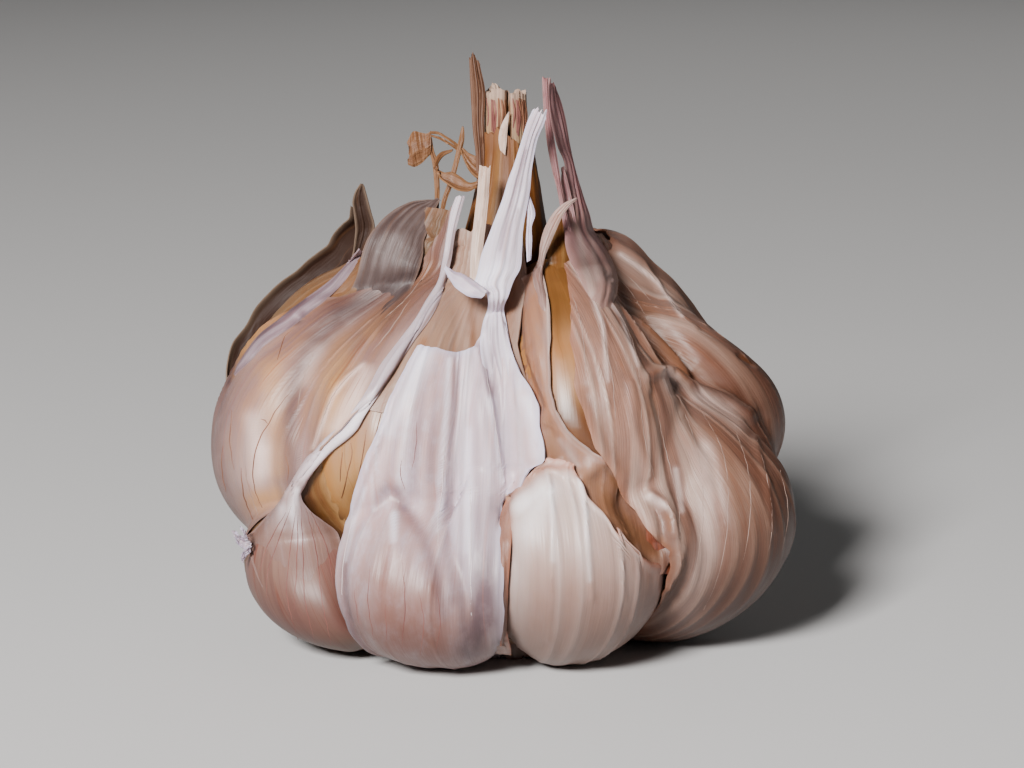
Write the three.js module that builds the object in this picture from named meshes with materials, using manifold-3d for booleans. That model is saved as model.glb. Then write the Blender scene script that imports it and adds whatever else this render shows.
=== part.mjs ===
// A softneck garlic bulb: root plate, dry stem, twelve cloves and the papery leaf sheaths round them.
// Millimetres, +Z up. The origin is the middle of the root plate's flat underside.
// Directions round the bulb are azimuths in degrees: 0 is the front (-Y), 90 is the right (+X).
import * as THREE from 'three';
import { mergeVertices } from 'three/addons/utils/BufferGeometryUtils.js';
import Module from 'manifold-3d';

const wasm = await Module();
wasm.setup();

// ---------- driving dimensions ----------
const gap = 0.3; // clear air between neighbouring pieces
const flankGap = 0.42; // between the flat flanks of two cloves
const skinThickness = 0.6;
const cloveInset = gap + skinThickness + 0.2; // how far a clove lies under the bulb's outer surface
const overlapLift = gap + skinThickness + 0.1; // how far a sheath rises to pass over another
const floorGap = 0.15; // height of the lowest sheaths over the surface that the root plate stands on
const cloveBlend = 0.9; // rounding where a clove meets its neighbours, mm
const sheathBlend = 1.5; // rounding of the sheaths where two cloves meet, mm
const neckBlend = 4.0; // how widely they run over into the neck, mm
const bridgeSpans = [7, 14]; // half the valley widths that a sheath bridges, degrees
const bridgeSag = 0.5; // how far it sinks into them, mm
const stemRadius = 2.6;
const plateRadius = 9.6;
const plateHeight = 5.0;
const plateFlatRadius = 4.2; // the flat spot that the bulb rests on

// Each clove: azimuth, z of its foot and tip, radius of its spine at foot, middle and tip, half its depth and
// width, sideways lean of its tip, and how blunt its foot and tip are (smaller is blunter).
const cloveTable = {
  clove_low_left: { azimuth: -58, z: [0.3, 17.5], spine: [16.5, 21.6, 21.0], depth: 7.2, width: 8.5, lean: -4.5,
    foot: 0.45, tip: 0.72 },
  clove_front_left: { azimuth: -22, z: [0.2, 19.5], spine: [16.5, 20.8, 18.5], depth: 7.2, width: 8.5, lean: -3.5,
    foot: 0.45, tip: 0.72 },
  clove_front_right: { azimuth: 22.5, z: [0.2, 21.5], spine: [16.0, 20.2, 18.0], depth: 7.2, width: 8.3, lean: -1.8,
    foot: 0.45, tip: 0.5 },
  clove_low_right: { azimuth: 67, z: [0.3, 27.5], spine: [16.0, 22.6, 16.0], depth: 9.0, width: 9.8, lean: 0,
    foot: 0.42, tip: 0.6 },
  clove_right: { azimuth: 100, z: [4.0, 35.5], spine: [10.0, 21.5, 12.0], depth: 8.0, width: 8.6, lean: 0,
    foot: 0.6, tip: 0.6 },
  clove_back_right: { azimuth: 132, z: [0.6, 41.0], spine: [9.0, 21.0, 8.0], depth: 9.5, width: 9.5, lean: 0,
    foot: 0.55, tip: 0.55 },
  clove_back: { azimuth: 172, z: [0.4, 38.0], spine: [11.0, 21.5, 9.0], depth: 9.0, width: 10.5, lean: 0,
    foot: 0.5, tip: 0.6 },
  clove_back_left: { azimuth: -133, z: [0.5, 40.0], spine: [10.0, 21.5, 8.0], depth: 9.0, width: 10.5, lean: 0,
    foot: 0.55, tip: 0.55 },
  clove_left: { azimuth: -92, z: [2.5, 38.0], spine: [9.0, 20.8, 9.0], depth: 9.5, width: 10.5, lean: 0,
    foot: 0.6, tip: 0.6 },
  clove_inner_left: { azimuth: -43, z: [2.0, 38.0], spine: [8.0, 17.0, 9.0], depth: 7.5, width: 8.4, lean: 0,
    foot: 0.6, tip: 0.6 },
  clove_inner_right: { azimuth: 35, z: [3.0, 40.0], spine: [7.0, 15.5, 8.0], depth: 8.0, width: 9.0, lean: 0,
    foot: 0.6, tip: 0.6 },
  clove_inner_front: { azimuth: -4, z: [3.0, 38.0], spine: [7.0, 11.0, 7.0], depth: 5.5, width: 6.5, lean: 0,
    foot: 0.6, tip: 0.6 },
};
const cloveNames = Object.keys(cloveTable);
const lowCloves = new Set(['clove_low_left', 'clove_front_left', 'clove_front_right']);
const dentedCloves = new Set(['clove_left', 'clove_inner_left', 'clove_inner_right', 'clove_inner_front']);
const inwardReach = 1.8; // how much deeper a clove goes towards the stem than outwards; the low ones don't

// The side of the bulb is measured by s, the length in mm up its outline from the middle of the root plate.
// Each row: s, radius and height of the outline there, and the height on the axis that its ray starts from.
const sideGuide = [
  [0, 6, 0, 14], [8, 14, 0, 13], [16, 21, 3, 13], [24, 26, 9.5, 14], [34, 27, 19, 16], [44, 24, 28.5, 18],
  [52, 19, 34.5, 20], [58, 14, 38, 23], [63, 10, 41, 29], [68, 7.5, 45, 38], [74, 6.5, 51, 48], [83, 5.5, 60, 59],
];
const rayReach = 46;
const rayStep = 0.66;

// Necks: radius by height, for the leaf sheath round the stem and for the sheaths that stand off it.
const tightNeck = [[30, 12.5], [36, 9.2], [39, 6.9], [42, 5.2], [46, 4.3], [50, 3.9], [56, 3.7], [64, 3.6]];
const looseNeck = [[30, 13.5], [36, 10.2], [39, 8.4], [42, 7.3], [46, 6.4], [50, 5.9], [56, 5.6], [64, 5.4]];
const rightNeck = [[30, 14], [36, 11.2], [39, 9.9], [42, 8.9], [46, 7.7], [50, 6.6], [54, 5.5], [60, 4.4]];

// ---------- small maths ----------
const radians = (degrees) => degrees * Math.PI / 180;
const clamp = (x, low = 0, high = 1) => Math.min(high, Math.max(low, x));
const mix = (a, b, t) => a + (b - a) * t;
const smooth = (x, from, to) => {
  const t = clamp((x - from) / (to - from));
  return t * t * (3 - 2 * t);
};
const bump = (x, middle, halfWidth) => smooth(halfWidth - Math.abs(x - middle), 0, halfWidth);
const smoothMin = (a, b, k) => {
  const h = Math.max(k - Math.abs(a - b), 0) / k;
  return Math.min(a, b) - h * h * k / 4;
};
const smoothMax = (a, b, k) => -smoothMin(-a, -b, k);

// Value at x of a line through the rows [x, value], read from the given column.
function along(rows, x, column = 1) {
  const last = rows.length - 1;
  if (x <= rows[0][0]) return rows[0][column];
  if (x >= rows[last][0]) return rows[last][column];
  const i = rows.findIndex((row) => row[0] > x);
  const [low, high] = [rows[i - 1], rows[i]];
  return mix(low[column], high[column], (x - low[0]) / (high[0] - low[0]));
}

const outwardAt = (azimuth) => new THREE.Vector3(Math.sin(radians(azimuth)), -Math.cos(radians(azimuth)), 0);
const sidewaysAt = (azimuth) => new THREE.Vector3(Math.cos(radians(azimuth)), Math.sin(radians(azimuth)), 0);

// ---------- the shape of a clove ----------
for (const [name, clove] of Object.entries(cloveTable)) {
  clove.outward = outwardAt(clove.azimuth);
  clove.sideways = sidewaysAt(clove.azimuth);
  clove.inward = lowCloves.has(name) ? 1 : inwardReach;
}

// A clove made smaller all round.
function shrunk(clove, inset) {
  return {
    ...clove,
    z: [clove.z[0] + inset, clove.z[1] - inset],
    depth: clove.depth - inset,
    width: clove.width - inset,
  };
}

// Size of the section at height t (0 foot, 1 tip), as a share of the widest one.
function sectionShare(clove, t) {
  const widest = clove.foot / (clove.foot + clove.tip);
  const most = widest ** clove.foot * (1 - widest) ** clove.tip;
  return t ** clove.foot * (1 - t) ** clove.tip / most;
}

// Radius and sideways place of the middle of the section at height t.
function spineAt(clove, t) {
  const [foot, middle, tip] = clove.spine;
  const bend = 2 * middle - (foot + tip) / 2;
  return [(1 - t) ** 2 * foot + 2 * t * (1 - t) * bend + t * t * tip, clove.lean * t * t];
}

// Roughly the distance to the clove's surface, negative inside it.
function cloveField(clove, p) {
  const length = clove.z[1] - clove.z[0];
  const t = (p.z - clove.z[0]) / length;
  const inside = clamp(t, 0.002, 0.998);
  const beyond = Math.max(0, Math.abs(t - 0.5) - 0.498) * length;
  const share = sectionShare(clove, inside);
  const [radius, aside] = spineAt(clove, inside);
  const depth = clove.depth * share;
  const width = clove.width * share;
  const outOfSpine = p.x * clove.outward.x + p.y * clove.outward.y - radius;
  const across = outOfSpine / (outOfSpine < 0 ? depth * clove.inward : depth);
  const beside = (p.x * clove.sideways.x + p.y * clove.sideways.y - aside) / width;
  return (Math.hypot(across, beside) - 1) * Math.sqrt(depth * width) + beyond;
}

const plateField = (p) => (Math.hypot(Math.hypot(p.x, p.y) / plateRadius, p.z / plateHeight) - 1) * plateHeight;
const stemField = (p) => Math.hypot(p.x, p.y) - stemRadius;

// The field of a packed clove: the neighbours press flat flanks on it, and it keeps clear of stem and plate.
// The low cloves stay round, and dent the ones behind them.
function packedField(name, inset, p) {
  const clove = cloveTable[name];
  const whole = cloveField(clove, p);
  let field = cloveField(shrunk(clove, inset), p);
  for (const other of cloveNames) {
    const apart = Math.abs(((cloveTable[other].azimuth - clove.azimuth + 540) % 360) - 180);
    const oneBehindOther = (lowCloves.has(name) && dentedCloves.has(other))
      || (dentedCloves.has(name) && lowCloves.has(other));
    if (other === name || apart > 100 || oneBehindOther) continue;
    field = smoothMax(field, (whole - cloveField(cloveTable[other], p) + flankGap) / 2, cloveBlend);
  }
  field = smoothMax(field, gap - stemField(p), 0.5);
  return smoothMax(field, gap - plateField(p), 0.5);
}

// ---------- closed meshes ----------
// A geometry from points and triangles, turned outwards if it came inside out.
function closedGeometry(points, faces) {
  let volume = 0;
  for (const [a, b, c] of faces) {
    volume += points[a].dot(points[b].clone().cross(points[c]));
  }
  const outwards = volume > 0 ? faces : faces.map(([a, b, c]) => [a, c, b]);
  const geometry = new THREE.BufferGeometry();
  geometry.setAttribute('position', new THREE.Float32BufferAttribute(points.flatMap((p) => [p.x, p.y, p.z]), 3));
  geometry.setIndex(outwards.flat());
  return geometry;
}

// Rings of points from one end to the other, closed by a point at each end.
function loft(rings, firstEnd, lastEnd) {
  const count = rings[0].length;
  const points = [...rings.flat(), firstEnd, lastEnd];
  const first = points.length - 2;
  const faces = [];
  for (let i = 0; i < count; i += 1) {
    const next = (i + 1) % count;
    for (let j = 0; j + 1 < rings.length; j += 1) {
      const [low, high] = [j * count, (j + 1) * count];
      faces.push([low + i, low + next, high + next], [low + i, high + next, high + i]);
    }
    const top = (rings.length - 1) * count;
    faces.push([first, next, i], [top + i, top + next, first + 1]);
  }
  return closedGeometry(points, faces);
}

// How far along a ray the field stays negative.
function reachInside(field, origin, direction, limit, steps) {
  const at = (distance) => origin.clone().addScaledVector(direction, distance);
  let low = 0;
  let high = limit;
  for (let i = 1; i <= steps; i += 1) {
    const distance = limit * i / steps;
    if (field(at(distance)) > 0) {
      high = distance;
      break;
    }
    low = distance;
  }
  for (let i = 0; i < 14; i += 1) {
    const middle = (low + high) / 2;
    if (field(at(middle)) > 0) high = middle;
    else low = middle;
  }
  return low;
}

function cloveGeometry(name, inset = cloveInset) {
  const [rows, columns] = name === 'clove_low_left' ? [14, 18] : [12, 14];
  const clove = shrunk(cloveTable[name], inset);
  const rings = [];
  for (let j = 1; j < rows; j += 1) {
    const t = 0.5 - 0.5 * Math.cos(Math.PI * j / rows);
    const [radius, aside] = spineAt(clove, t);
    const share = sectionShare(clove, t);
    const middle = clove.outward.clone().multiplyScalar(radius).addScaledVector(clove.sideways, aside);
    middle.z = mix(...clove.z, t);
    const ring = [];
    for (let i = 0; i < columns; i += 1) {
      const turn = 2 * Math.PI * i / columns;
      const direction = clove.outward.clone().multiplyScalar(Math.cos(turn) * clove.depth * share);
      direction.addScaledVector(clove.sideways, Math.sin(turn) * clove.width * share);
      const reach = reachInside((p) => packedField(name, inset, p), middle, direction, 1.25 * clove.inward, 60);
      ring.push(middle.clone().addScaledVector(direction, Math.max(reach, 0.06)));
    }
    rings.push(ring);
  }
  const middleOf = (ring, z) => {
    const middle = ring.reduce((sum, p) => sum.add(p), new THREE.Vector3()).divideScalar(ring.length);
    return middle.setZ(z);
  };
  return loft(rings, middleOf(rings[0], clove.z[0]), middleOf(rings[rings.length - 1], clove.z[1]));
}

// ---------- the outer surface that the sheaths follow ----------
const rayOrigin = (s) => new THREE.Vector3(0, 0, along(sideGuide, s, 3));

function rayDirection(azimuth, s) {
  const direction = outwardAt(azimuth).multiplyScalar(along(sideGuide, s, 1));
  direction.z = along(sideGuide, s, 2) - along(sideGuide, s, 3);
  return direction.normalize();
}

// How far out the packed cloves and the neck reach on the ray of azimuth and s.
function packReach(azimuth, s, neck) {
  const origin = rayOrigin(s);
  const direction = rayDirection(azimuth, s);
  const field = (distance) => {
    const p = origin.clone().addScaledVector(direction, distance);
    let nearest = (Math.hypot(p.x, p.y) - along(neck, p.z)) * 0.8;
    let blend = neckBlend;
    for (const name of cloveNames) {
      nearest = smoothMin(cloveField(cloveTable[name], p), nearest, blend);
      blend = sheathBlend;
    }
    return nearest;
  };
  let outside = rayReach;
  while (outside > rayStep && field(outside - rayStep) > 0) outside -= rayStep;
  let inside = outside - rayStep;
  for (let i = 0; i < 12; i += 1) {
    const middle = (inside + outside) / 2;
    if (field(middle) > 0) outside = middle;
    else inside = middle;
  }
  return inside;
}

// The same for a sheath, which is drawn tight from clove to clove across the valleys.
function sheathReach(azimuth, s, neck) {
  let reach = packReach(azimuth, s, neck);
  for (const span of bridgeSpans) {
    const [left, right] = [packReach(azimuth - span, s, neck), packReach(azimuth + span, s, neck)];
    const chord = 2 * left * right * Math.cos(radians(span)) / (left + right);
    reach = smoothMax(reach, chord - bridgeSag, 0.8);
  }
  return reach;
}

// Point on the sheaths' surface at azimuth and s, raised by lift.
function outerPoint(azimuth, s, neck, lift = 0) {
  const at = (a, b) => rayOrigin(b).addScaledVector(rayDirection(a, b), sheathReach(a, b, neck));
  const surface = at(azimuth, s);
  if (lift !== 0) {
    const aside = at(azimuth + 1.5, s).sub(at(azimuth - 1.5, s));
    const up = at(azimuth, s + 0.6).sub(at(azimuth, s - 0.6));
    surface.addScaledVector(aside.cross(up).normalize(), lift);
  }
  return surface.setZ(Math.max(surface.z, floorGap));
}

// ---------- thin sheets ----------
// A closed sheet from rows of points on its outer face; thickness is a number or a function of u and v.
function sheet(rows, thickness = skinThickness) {
  const height = rows.length;
  const width = rows[0].length;
  const clampAt = (list, i) => list[clamp(i, 0, list.length - 1)];
  const inner = rows.map((row, j) => row.map((p, i) => {
    const alongRow = clampAt(row, i + 1).clone().sub(clampAt(row, i - 1));
    const alongColumn = clampAt(rows, j + 1)[i].clone().sub(clampAt(rows, j - 1)[i]);
    const normal = alongRow.cross(alongColumn).normalize();
    const deep = typeof thickness === 'number' ? thickness : thickness(i / (width - 1), j / (height - 1));
    return p.clone().addScaledVector(normal, -deep);
  }));
  const points = [...rows.flat(), ...inner.flat()];
  const back = height * width;
  const index = (j, i) => j * width + i;
  const faces = [];
  for (let j = 0; j + 1 < height; j += 1) {
    for (let i = 0; i + 1 < width; i += 1) {
      const [a, b, c, d] = [index(j, i), index(j, i + 1), index(j + 1, i + 1), index(j + 1, i)];
      faces.push([a, b, c], [a, c, d]);
      faces.push([a + back, c + back, b + back], [a + back, d + back, c + back]);
    }
  }
  const wall = (a, b) => faces.push([b, a, a + back], [b, a + back, b + back]);
  for (let i = 0; i + 1 < width; i += 1) {
    wall(index(0, i), index(0, i + 1));
    wall(index(height - 1, i + 1), index(height - 1, i));
  }
  for (let j = 0; j + 1 < height; j += 1) {
    wall(index(j + 1, 0), index(j, 0));
    wall(index(j, width - 1), index(j + 1, width - 1));
  }
  return closedGeometry(points, faces);
}

// A leaf sheath over the bulb. left and right give the azimuth of its edges by s, bottom and top give s by u.
function sheath({ columns, rows, left, right, bottom, top, neck, lift = () => 0, thickness }) {
  const grid = [];
  for (let j = 0; j <= rows; j += 1) {
    const row = [];
    for (let i = 0; i <= columns; i += 1) {
      const u = i / columns;
      const s = mix(along(bottom, u), along(top, u), j / rows);
      const azimuth = mix(along(left, s), along(right, s), u);
      row.push(outerPoint(azimuth, s, neck, lift(azimuth, s, u)));
    }
    grid.push(row);
  }
  return sheet(grid, thickness);
}

// A narrow strip through stations [x, y, z, half width], its face turned to an azimuth and arched a little.
// torn gives how far each edge and the middle of its last row reach on.
function strip(stations, { face, across = 2, steps = 10, arch = 0.15, torn = [0, 0.5, 0], thickness }) {
  const line = new THREE.CatmullRomCurve3(stations.map(([x, y, z]) => new THREE.Vector3(x, y, z)), false, 'centripetal');
  const grid = [];
  for (let j = 0; j <= steps; j += 1) {
    const t = j / steps;
    const place = t * (stations.length - 1);
    const middle = line.getPoint(t);
    const tangent = line.getTangent(t);
    const turned = typeof face === 'number' ? face : along(face, t);
    const side = sidewaysAt(turned);
    side.addScaledVector(tangent, -side.dot(tangent)).normalize();
    const outward = side.clone().cross(tangent).normalize();
    const halfWidth = along(stations.map((station, i) => [i, station[3]]), place);
    const row = [];
    for (let i = 0; i <= across; i += 1) {
      const u = 2 * i / across - 1;
      const p = middle.clone().addScaledVector(side, u * halfWidth);
      p.addScaledVector(outward, arch * halfWidth * (1 - u * u));
      if (j === steps) p.addScaledVector(tangent, along([[-1, torn[0]], [0, torn[1]], [1, torn[2]]], u));
      row.push(p);
    }
    grid.push(row);
  }
  return sheet(grid, thickness);
}

// The start of a strip: a station on the bulb's surface.
function rooted(azimuth, s, neck, lift, halfWidth) {
  const p = outerPoint(azimuth, s, neck, lift);
  return [p.x, p.y, p.z, halfWidth];
}

// ---------- joining ----------
function toSolid(geometry) {
  const bare = geometry.clone();
  bare.deleteAttribute('normal');
  bare.deleteAttribute('uv');
  const merged = mergeVertices(bare, 1e-5);
  const vertProperties = new Float32Array(merged.attributes.position.array);
  const triVerts = new Uint32Array(merged.index.array);
  return new wasm.Manifold(new wasm.Mesh({ numProp: 3, vertProperties, triVerts }));
}

function toGeometry(solid) {
  const mesh = solid.getMesh();
  const geometry = new THREE.BufferGeometry();
  geometry.setAttribute('position', new THREE.Float32BufferAttribute(mesh.vertProperties, 3));
  geometry.setIndex(Array.from(mesh.triVerts));
  return geometry;
}

const fused = (...geometries) => toGeometry(geometries.map(toSolid).reduce((sum, solid) => sum.add(solid)));

// A geometry with others cut out of it.
function cut(geometry, ...cutters) {
  return toGeometry(cutters.map(toSolid).reduce((rest, cutter) => rest.subtract(cutter), toSolid(geometry)));
}

// ---------- root plate ----------
// A low dome under the cloves, with the stubs of its trimmed roots round the flat spot.
function rootPlateGeometry() {
  const profile = [
    [0, 0], [plateFlatRadius, 0], [plateFlatRadius + 0.5, 0.8], [plateRadius * 0.9, 1.0], [plateRadius * 0.94, 1.5],
    [plateRadius * 0.84, 2.6], [plateRadius * 0.62, 3.8], [plateRadius * 0.34, 4.6], [0, plateHeight - 0.2],
  ];
  const dome = new THREE.LatheGeometry(profile.map(([r, z]) => new THREE.Vector2(r, z)), 20);
  dome.rotateX(Math.PI / 2);
  const stubs = [];
  const stubCount = 24;
  const goldenAngle = Math.PI * (3 - Math.sqrt(5));
  for (let i = 0; i < stubCount; i += 1) {
    const spread = Math.sqrt((i + 0.5) / stubCount);
    const radius = mix(plateFlatRadius + 1.1, plateRadius * 0.8, spread);
    const stubLength = 1.5;
    const stub = new THREE.CylinderGeometry(0.42, 0.3, stubLength, 4);
    stub.rotateX(Math.PI / 2);
    stub.rotateY(0.12 * Math.sin(3 * i));
    stub.translate(radius * Math.cos(i * goldenAngle), radius * Math.sin(i * goldenAngle), 0.15 + stubLength / 2);
    stubs.push(stub);
  }
  return fused(dome, ...stubs);
}

// ---------- stem and neck ----------
// The cut dry stem: an oval stalk, fibrous and ragged at its top.
function stemGeometry() {
  const sides = 16;
  const levels = [[plateHeight + 0.1, 2.2], [14, 2.1], [30, 2.1], [42, 2.2], [48, 2.3], [52, 2.25], [54.2, 2.15]];
  const cutDepth = 1.6; // the hollow in the cut top
  const topShift = 0.3; // the cut top leans a little to the right
  const ringAt = (z, radius, ragged) => Array.from({ length: sides }, (_, i) => {
    const turn = 2 * Math.PI * i / sides;
    const fray = ragged * (0.5 * Math.sin(5 * turn) + 0.5 * Math.sin(3 * turn + 1));
    return new THREE.Vector3(radius * Math.cos(turn) + topShift * smooth(z, 49, 53), 0.92 * radius * Math.sin(turn), z + fray);
  });
  const rings = levels.map(([z, radius]) => ringAt(z, radius, z > 50 ? 0.35 : 0));
  rings.push(ringAt(55.6, 2.1, 0.7), ringAt(55.2, 1.3, 0.3), ringAt(55.4 - cutDepth, 0.9, 0));
  return loft(rings, new THREE.Vector3(0, 0, plateHeight + 0.1), new THREE.Vector3(topShift, 0, 55.2 - cutDepth));
}

// The leaf bases wrapped round the stem, above the clove tips, torn off at the top.
function neckSheathGeometry() {
  const sides = 16;
  const innerRadius = stemRadius + 0.05;
  const levels = [37.6, 38.6, 40, 42, 44.5, 47.5, 50];
  const clear = (p) => {
    let field = Math.hypot(p.x, p.y) - along(tightNeck, p.z) + cloveInset;
    for (const name of cloveNames) {
      field = Math.max(field, gap - cloveField(shrunk(cloveTable[name], cloveInset), p));
    }
    return field;
  };
  const outer = levels.map((z) => Array.from({ length: sides }, (_, i) => {
    const turn = 2 * Math.PI * i / sides;
    const direction = new THREE.Vector3(Math.cos(turn), Math.sin(turn), 0);
    const start = direction.clone().multiplyScalar(innerRadius).setZ(z);
    const reach = Math.max(reachInside(clear, start, direction, 6, 60), skinThickness);
    const torn = z === levels[levels.length - 1] ? 0.9 * Math.sin(3 * turn) + 0.5 * Math.sin(7 * turn + 2) : 0;
    return direction.clone().multiplyScalar(innerRadius + reach).setZ(z + torn);
  }));
  const inner = outer.map((ring) => ring.map((p) => {
    const shrink = innerRadius / Math.hypot(p.x, p.y);
    return new THREE.Vector3(p.x * shrink, p.y * shrink, p.z);
  }));
  const rings = [...outer, ...inner.reverse()];
  const points = rings.flat();
  const faces = [];
  for (let j = 0; j < rings.length; j += 1) {
    const after = (j + 1) % rings.length;
    for (let i = 0; i < sides; i += 1) {
      const next = (i + 1) % sides;
      const [a, b, c, d] = [j * sides + i, j * sides + next, after * sides + next, after * sides + i];
      faces.push([a, b, c], [a, c, d]);
    }
  }
  const tallShard = strip([
    [-3.3, -0.6, 42, 0.8], [-3.2, -0.6, 46, 0.85], [-3.15, -0.6, 50, 0.8], [-3.1, -0.4, 54, 0.7], [-3.0, -0.2, 59, 0.4],
  ], { face: -50, steps: 8, torn: [0.6, -0.2, 0.5] });
  return fused(closedGeometry(points, faces), tallShard);
}

// ---------- edges of the sheaths: [s, azimuth] ----------
const sheathFoot = 6.5; // where the sheaths end under the bulb, close round the root plate
const edgeGap = 1.6; // degrees between two edges that meet
const shifted = (edge, by) => edge.map(([s, azimuth]) => [s, azimuth + by]);

const frontLeftEdge = [
  [9, -40], [14, -38], [20.9, -36.5], [25.6, -39.5], [30, -40.6], [38.8, -33.5], [45.7, -30.8], [51.3, -29.2],
  [54, -28.5], [55.6, -22.7], [57.5, -10.9],
];
const frontRightEdge = [
  [9, -3], [16.4, -1.5], [18.5, -3], [27, -0.4], [33.4, 0], [35.2, 3.2], [37, 7.3], [38.2, 11.3], [41.1, 10.2],
  [46, 8.1], [53.7, 2.5], [55.6, -1], [57.5, -0.8],
];
const rightLeftEdge = [
  [9, 47], [13.6, 46], [22.1, 38.5], [25.8, 38.6], [28, 37.6], [29.5, 37.5], [34.6, 32.1], [38.8, 25.8], [41.6, 22],
  [45.6, 20.8], [51.9, 22.2], [56, 26.5], [60.3, 33], [63, 39], [66.1, 44], [70, 47],
];
const tailRightEdge = [
  [26.2, 36.8], [28, 36], [29.5, 35.8], [34.6, 30.5], [38.8, 23.2], [42.9, 17.6], [47.7, 14.6], [55, 16.7], [63.1, 26],
];
const tailLeftEdge = [
  [26.2, 8], [34, 9.8], [38.2, 12.8], [41, 11.8], [46, 9.8], [53.7, 5], [58, 8], [63.1, 15],
];
const leftRightEdge = [
  [9, -82], [15, -81], [22, -80], [26, -77.5], [29.9, -68.5], [33.8, -58.6], [37, -49.5], [40.5, -41.2], [44.5, -35.6],
  [48.1, -33], [54, -33], [59.2, -34.5], [62.5, -41], [65.8, -47.2], [70, -49.4],
];
const backLeftEdge = 139; // azimuths of the back sheath's edges
const backRightEdge = 233;

// ---------- pieces ----------
const papery = { roughness: 0.55, metalness: 0 };
const colours = {
  root: 0x9a8468,
  stem: 0xc9b08a,
  clove: 0xe9d3b0,
  pinkClove: 0xd9b8a4,
  whiteSkin: 0xe2dcdf,
  pinkSkin: 0xcdb3a6,
  leftSkin: 0xc4b1a8,
  drySkin: 0xa08f78,
};
const bulb = new THREE.Group();
bulb.name = 'garlic_bulb';

function piece(name, geometry, colour, finish = papery) {
  const mesh = new THREE.Mesh(geometry, new THREE.MeshStandardMaterial({ color: colour, ...finish }));
  mesh.name = name;
  bulb.add(mesh);
}

piece('root_plate', rootPlateGeometry(), colours.root, { roughness: 0.9, metalness: 0 });
piece('stem', stemGeometry(), colours.stem, { roughness: 0.85, metalness: 0 });
piece('neck_sheath', neckSheathGeometry(), colours.stem);

// The low left clove's own skin runs on into a dry tail, up the edge of the left sheath to the neck.
function lowLeftTail() {
  const route = [
    [26.5, -60.5, 0.7], [29.9, -61.5, 0.9], [33.8, -56.7, 0.85], [37, -49.5, 0.8], [40.5, -41.6, 0.75], [44.5, -36, 0.7],
    [48.1, -33.4, 0.65], [54, -33.4, 0.6], [59.2, -35, 0.55], [62.5, -41, 0.5], [65.8, -47, 0.5], [70, -49.6, 0.5],
  ];
  const sink = 1.2; // how far its lower end lies under the surface, inside the clove
  const tailLift = overlapLift + 0.35;
  const stations = route.map(([s, azimuth, halfWidth], i) => {
    const lift = i === 0 ? -sink : tailLift * (i === 1 ? 0.4 : 1);
    return rooted(azimuth, s, looseNeck, lift, halfWidth);
  });
  const tail = strip(stations, { face: [[0, -60], [0.4, -35], [0.75, -30], [1, -45]], steps: 26, across: 2 });
  const curl = strip([
    rooted(-37.5, 60.6, looseNeck, tailLift - 0.2, 0.5), [-5.0, -11.2, 39.2, 0.8], [-3.9, -13.2, 38.4, 0.9],
    [-2.6, -14.4, 37.3, 0.6],
  ], { face: -10, steps: 6, torn: [0.2, 0, -0.3] });
  return fused(tail, curl);
}
const lowLeftClove = cloveGeometry('clove_low_left');
piece('clove_low_left', fused(lowLeftClove, lowLeftTail()), colours.pinkClove);
const dents = [...lowCloves].map((name) => cloveGeometry(name, cloveInset - gap * 1.4));
for (const name of cloveNames.slice(1)) {
  const whole = cloveGeometry(name);
  piece(name, dentedCloves.has(name) ? cut(whole, ...dents) : whole, colours.clove);
}

// The front panel covers the front left clove; a band of it runs on into the white strip at the neck.
function frontSheath() {
  const panel = sheath({
    columns: 14,
    rows: 21,
    left: frontLeftEdge,
    right: frontRightEdge,
    bottom: [[0, sheathFoot], [1, sheathFoot]],
    top: [[0, 51.3], [0.25, 51.6], [0.42, 52.6], [0.5, 53.4], [0.585, 57.4], [1, 57.5]],
    neck: looseNeck,
    lift: (azimuth, s) => mix(0.2, overlapLift, smooth(s, 39, 45)),
  });
  const upper = strip([
    rooted(-5, 55, looseNeck, overlapLift - 0.1, 0.75), rooted(-3.5, 57, looseNeck, overlapLift, 0.55),
    [-0.8, -13.3, 36.8, 0.8], [-1.3, -12.9, 37.8, 1.75],
    [-0.9, -12.2, 38.8, 2.0], [-0.7, -11.2, 40.2, 2.1], [0.6, -9.6, 43.7, 2.1], [1.3, -8.8, 47.1, 1.2],
    [2.2, -8.4, 51.0, 0.85], [3.6, -8.6, 54.7, 0.75],
  ], { face: 0, steps: 18, across: 4, arch: 0.25, torn: [-0.3, 0.2, 0.3] });
  return fused(panel, upper);
}
piece('sheath_front', frontSheath(), colours.whiteSkin);

// The white skin left on the front right clove, torn off along its top.
piece('sheath_front_right', sheath({
  columns: 12,
  rows: 11,
  left: shifted(frontRightEdge, edgeGap),
  right: shifted(rightLeftEdge, -edgeGap),
  bottom: [[0, sheathFoot], [1, sheathFoot]],
  top: [[0, 31], [0.07, 35.2], [0.14, 36.6], [0.26, 37.2], [0.46, 36.9], [0.54, 34.1], [0.68, 31.6], [0.75, 28.9],
    [1, 25.6]],
  neck: looseNeck,
}), colours.whiteSkin);

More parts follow.
